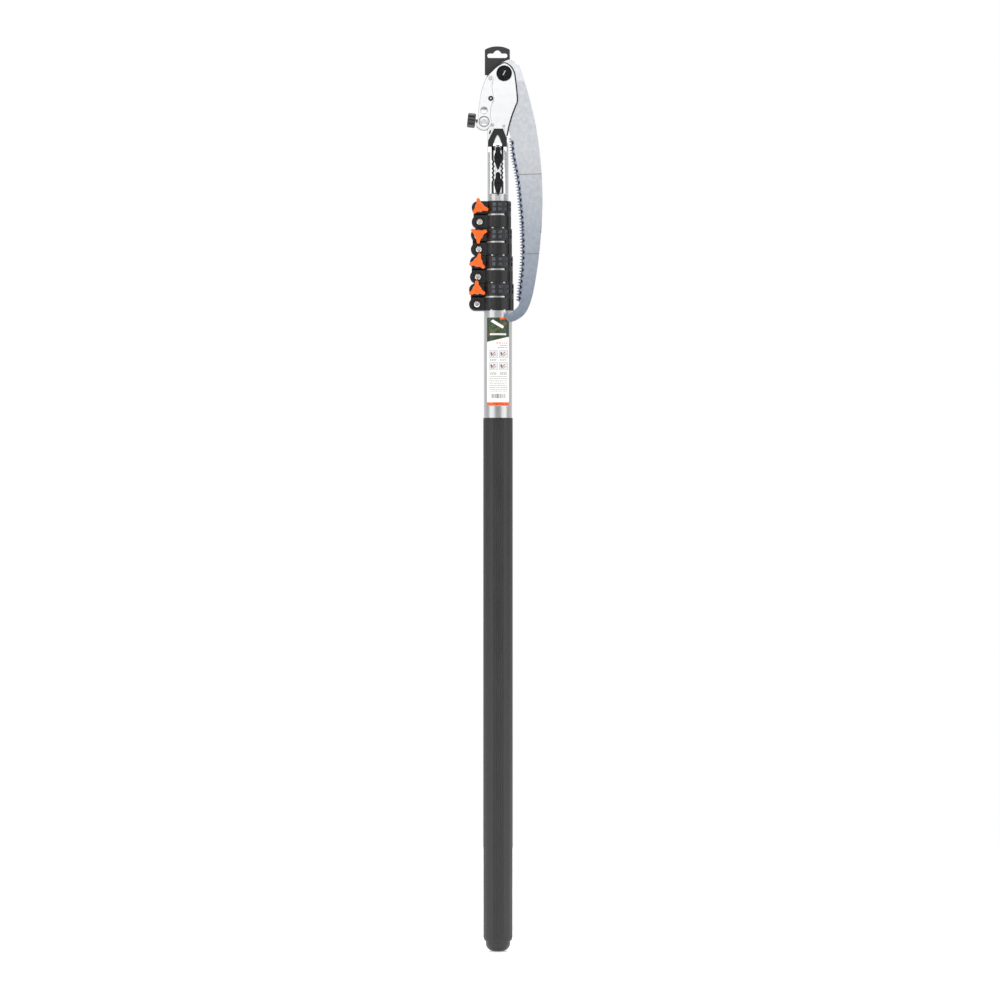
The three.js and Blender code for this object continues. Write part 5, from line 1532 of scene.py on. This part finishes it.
def build_saddle(index):
    """One curved clamp with its boss, and the bolt through it."""
    z = SADDLE_BOLT_HEIGHTS[index]
    front = depths(f"saddle_clamp_{index + 1}")[0]
    seat, plate, reach = TROUGH_FLOOR + FIT_GAP, 2.2, 30
    body = prism(f"saddle_clamp_{index + 1}_body", saddle_outline(z), -40, -5)
    shell = turned("shell", [(seat, z - reach), (seat + plate, z - reach), (seat + plate, z + reach),
                             (seat, z + reach)], 144)
    combine(body, [shell], "INTERSECT")
    boss_radius, boss_end = 6.2, -seat - 1
    boss = turned_y("boss", [(0, front), (boss_radius - 0.4, front), (boss_radius, front + 0.4),
                             (boss_radius, boss_end), (0, boss_end)], 0, z)
    combine(body, [boss], "UNION")
    combine(body, [round_hole(SADDLE_BOLT_HOLE, 0, z)], "DIFFERENCE")
    settle(body, black_steel(), "section_5", "black_steel", f"saddle_clamp_{index + 1}")
    front, back = depths(f"saddle_bolt_{index + 1}")
    face, flange, shank = front + 2.4, 5, 2.9
    bolt = turned_y(f"saddle_bolt_{index + 1}_body", [
        (0, front), (3.6, front), (4, front + 0.4), (4.1, face - 1.4), (flange - 0.2, face - 1.4),
        (flange, face - 1.2), (flange, face), (shank, face), (shank, back), (0, back)], 0, z)
    combine(bolt, [prism("socket", hexagon(3.6, 0, z), -60, face - 0.8)], "DIFFERENCE")
    settle(bolt, black_steel(), "section_5", "black_steel", f"saddle_bolt_{index + 1}")


def build_rivets():
    radius, edge = 2.2, 0.5
    for number, place in enumerate(RIVETS, 1):
        front, back = depths(f"cheek_rivet_{number}")
        rims = [(radius - inset, depth) for inset, depth in rounded(front, back, edge)]
        rivet = turned_y(f"cheek_rivet_{number}_body", [(0, front), *rims, (0, back)], *place, 48)
        settle(rivet, zinc_steel(), "section_5", "zinc_steel", f"cheek_rivet_{number}")


def bend(start_point, control, end_point, steps=8):
    """Points on a quadratic curve, without its first point."""
    a, b, c = Vector(start_point), Vector(control), Vector(end_point)
    return [a.lerp(b, i / steps).lerp(b.lerp(c, i / steps), i / steps) for i in range(1, steps + 1)]


def build_hang_tab():
    """A flat tab with an arched top and a long slot that rises to a point in the middle."""
    low, high = span("hang_tab")
    centre, half_width, top = -1.05, 20, high.z
    left, right = centre - half_width, centre + half_width
    side_top, corner_z, shoulder, corner = 1438.4, 1440.2, 1441.2, 1.8
    outline = outline_of([(left, 1399.4), (-4, 1399.4), (-4, 1388), (21.6, 1388), (21.6, 1399.4), (right, 1408),
                          (right, side_top)])
    outline += bend((right, side_top), (right, corner_z), (right - corner, shoulder))
    outline += bend((right - corner, shoulder), (centre + 10, top), (centre, top))
    outline += bend((centre, top), (centre - 10, top), (left + corner, shoulder))
    outline += bend((left + corner, shoulder), (left, corner_z), (left, side_top))
    slot_low, slot_high, half, peak, foot, shoulder = 1426.9, 1433.9, 16.0, 1438.9, 6.6, 3.6
    radius = (slot_high - slot_low) / 2
    slot = arc(centre + half - radius, slot_low + radius, radius, -90, 90, 16)
    slot += [Vector((centre + foot, slot_high))]
    slot += bend((centre + foot, slot_high), (centre + shoulder, peak), (centre, peak))
    slot += bend((centre, peak), (centre - shoulder, peak), (centre - foot, slot_high))
    slot += arc(centre - half + radius, slot_low + radius, radius, 90, 270, 16)
    tab = loft("hang_tab_body", [outline, slot], rounded(low.y, high.y, 0.2))
    combine(tab, [round_hole(PIVOT_HOLE, *PIVOT)], "DIFFERENCE")
    settle(tab, hanger_plastic(), "section_5", "tab_plastic", "hang_tab")


def dress_hidden():
    """Finishes for the CAD nodes that stay: they sit inside the tubes and the pivot."""
    finishes = [(f"guide_plug_{n}", black_nylon()) for n in range(2, SECTIONS + 1)]
    finishes += [(name, zinc_steel()) for name in ("saddle_nut_bar", "pivot_bush")]
    for node, material in finishes:
        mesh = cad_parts[node].data
        mesh.materials.clear()
        mesh.materials.append(material)


# ---- stage -------------------------------------------------------------------------------------------


def area_light(name, place, aim, width, height, watts):
    light = bpy.data.lights.new(name, "AREA")
    light.shape = "RECTANGLE"
    light.size, light.size_y, light.energy = width, height, watts
    made = bpy.data.objects.new(name, light)
    bpy.context.scene.collection.objects.link(made)
    made.location = place
    made.rotation_euler = (Vector(aim) - Vector(place)).to_track_quat("-Z", "Y").to_euler()


def build_world():
    """White to the camera and soft grey to everything else."""
    world = bpy.data.worlds.new("studio")
    bpy.context.scene.world = world
    world.use_nodes = True
    tree = world.node_tree
    tree.nodes.clear()
    paths = add(tree, "ShaderNodeLightPath")
    # Reflections find a dim room in front of the object and a brighter one behind it.
    towards = add(tree, "ShaderNodeTexCoord").outputs["Generated"]
    depth = add(tree, "ShaderNodeSeparateXYZ", links={"Vector": towards}).outputs["Y"]
    white, dim, bright = linear(0xFFFFFF), 0.1, 0.8
    level = spread(tree, depth, dim, bright, -0.95, 0.75)
    soft = add(tree, "ShaderNodeBackground", {"Color": white}, {"Strength": level}).outputs[0]
    seen = add(tree, "ShaderNodeBackground", {"Color": white, "Strength": 1.0}).outputs[0]
    mixed = add(tree, "ShaderNodeMixShader", links={0: paths.outputs["Is Camera Ray"], 1: soft, 2: seen})
    add(tree, "ShaderNodeOutputWorld", links={"Surface": mixed.outputs[0]})


def build_stage():
    build_world()
    # Everything on the stage is in metres.
    wide, near, far, below = 6.0, -3.0, 2.0, -0.0006
    bm = bmesh.new()
    corners = ((-wide, near), (wide, near), (wide, far), (-wide, far))
    bm.faces.new([bm.verts.new((x, y, below)) for x, y in corners])
    floor = new_object("floor", bm)
    floor.data.materials.append(stage_floor())
    aim, above, distance, turn, box = 0.72, 0.35, 2.5, math.radians(50), 2.2
    for side in (-1, 1):
        place = (side * distance * math.sin(turn), -distance * math.cos(turn), aim + above)
        area_light(f"softbox_{side}", place, (0, 0, aim), box, box, 16)
    head_height = 1.38
    area_light("head_panel", (0, -3, 2.05), (0, 0, head_height), 2.4, 1.6, 13)
    # The overhead panel hangs above the fully drawn-out pole.
    hung_at, panel = 6.5, 7.4
    area_light("overhead", (0, 0, hung_at), (0, 0, 0), panel, panel, 505)
    lens = bpy.data.cameras.new("photo_view")
    lens.lens, lens.sensor_width = 150, 36
    camera = bpy.data.objects.new("photo_view", lens)
    bpy.context.scene.collection.objects.link(camera)
    camera.location = (0.0032, -6.667, 0.7216)
    camera.rotation_euler = (math.pi / 2, 0, 0)
    bpy.context.scene.camera = camera
    bpy.context.scene.view_settings.view_transform = "Standard"


# ---- operators ---------------------------------------------------------------------------------------


class PoleSawOperator(bpy.types.Operator):
    """Shared behaviour of the operators that build pieces"""
    bl_options = {"REGISTER", "UNDO"}

    def execute(self, context):
        self.build()
        return {"FINISHED"}


class BuildTubes(PoleSawOperator):
    """Builds the five aluminium tubes"""
    bl_idname = "pole_saw.tubes"
    bl_label = "Tubes"

    def build(self):
        for n in range(1, SECTIONS + 1):
            build_tube(n)


class BuildGrip(PoleSawOperator):
    """Builds the end cap and the ribbed grip sleeve"""
    bl_idname = "pole_saw.grip"
    bl_label = "End cap and grip"

    def build(self):
        build_end_cap()
        build_grip()


class BuildLabel(PoleSawOperator):
    """Builds the printed label"""
    bl_idname = "pole_saw.label"
    bl_label = "Label"

    def build(self):
        build_label()


class BuildCollars(PoleSawOperator):
    """Builds the four clamp collars with their screws and nuts"""
    bl_idname = "pole_saw.collars"
    bl_label = "Clamp collars"

    def build(self):
        tree = pocket_grid_tree()
        for n in range(1, SECTIONS):
            build_collar(n, tree)
            build_fasteners(n)


class BuildKnobs(PoleSawOperator):
    """Builds the four wing knobs with their studs and washers"""
    bl_idname = "pole_saw.knobs"
    bl_label = "Wing knobs"

    def build(self):
        for n in range(1, SECTIONS):
            build_knob(n)


class BuildHead(PoleSawOperator):
    """Builds the two cheeks, their liners, the spacer and the rivets"""
    bl_idname = "pole_saw.head"
    bl_label = "Saw head"

    def build(self):
        build_bracket()
        build_front_cheek()
        build_spacer()
        for node in ("front_liner", "rear_liner"):
            build_liner(node)
        build_rivets()


class BuildBlade(PoleSawOperator):
    """Builds the folding blade and its row of teeth"""
    bl_idname = "pole_saw.blade"
    bl_label = "Blade"

    def build(self):
        build_blade()


class BuildPivot(PoleSawOperator):
    """Builds the blade's pivot bolt and nut"""
    bl_idname = "pole_saw.pivot"
    bl_label = "Pivot"

    def build(self):
        build_pivot()


class BuildLever(PoleSawOperator):
    """Builds the lock lever with its pins and barrel nut"""
    bl_idname = "pole_saw.lever"
    bl_label = "Lock lever"

    def build(self):
        build_lever()
        build_lever_fittings()


class BuildThumbScrew(PoleSawOperator):
    """Builds the thumb screw and its washer"""
    bl_idname = "pole_saw.thumb_screw"
    bl_label = "Thumb screw"

    def build(self):
        build_thumb_screw()


class BuildSaddles(PoleSawOperator):
    """Builds the two saddle clamps and their bolts"""
    bl_idname = "pole_saw.saddles"
    bl_label = "Saddle clamps"

    def build(self):
        for index in range(len(SADDLE_BOLT_HEIGHTS)):
            build_saddle(index)


class BuildHangTab(PoleSawOperator):
    """Builds the hanger and finishes the pieces hidden in the tubes"""
    bl_idname = "pole_saw.hang_tab"
    bl_label = "Hanger"

    def build(self):
        build_hang_tab()
        dress_hidden()


class BuildStage(PoleSawOperator):
    """Builds the floor, the lights and the camera"""
    bl_idname = "pole_saw.stage"
    bl_label = "Stage"

    def build(self):
        build_stage()


BUILDERS = (BuildTubes, BuildGrip, BuildLabel, BuildCollars, BuildKnobs, BuildHead, BuildBlade, BuildPivot,
            BuildLever, BuildThumbScrew, BuildSaddles, BuildHangTab, BuildStage)
SETTINGS = {"pole_saw_pole": PoleSawPole, "pole_saw_head": PoleSawHead, "pole_saw_colours": PoleSawColours}


class PoleSawPanel(bpy.types.Panel):
    """Settings and operators of the pole saw"""
    bl_idname = "VIEW3D_PT_pole_saw"
    bl_label = "Pole Saw"
    bl_space_type = "VIEW_3D"
    bl_region_type = "UI"
    bl_category = "Pole Saw"

    def draw(self, context):
        for name, group in SETTINGS.items():
            for setting in group.__annotations__:
                self.layout.prop(getattr(context.scene, name), setting)
        for builder in BUILDERS:
            self.layout.operator(builder.bl_idname)


CLASSES = (*SETTINGS.values(), *BUILDERS, PoleSawPanel)


def register():
    for made in CLASSES:
        bpy.utils.register_class(made)
    for name, group in SETTINGS.items():
        setattr(bpy.types.Scene, name, PointerProperty(type=group))


def unregister():
    for name in SETTINGS:
        delattr(bpy.types.Scene, name)
    for made in reversed(CLASSES):
        bpy.utils.unregister_class(made)


def main():
    register()
    for builder in BUILDERS:
        group, name = builder.bl_idname.split(".")
        getattr(getattr(bpy.ops, group), name)()


if __name__ == "__main__":
    main()
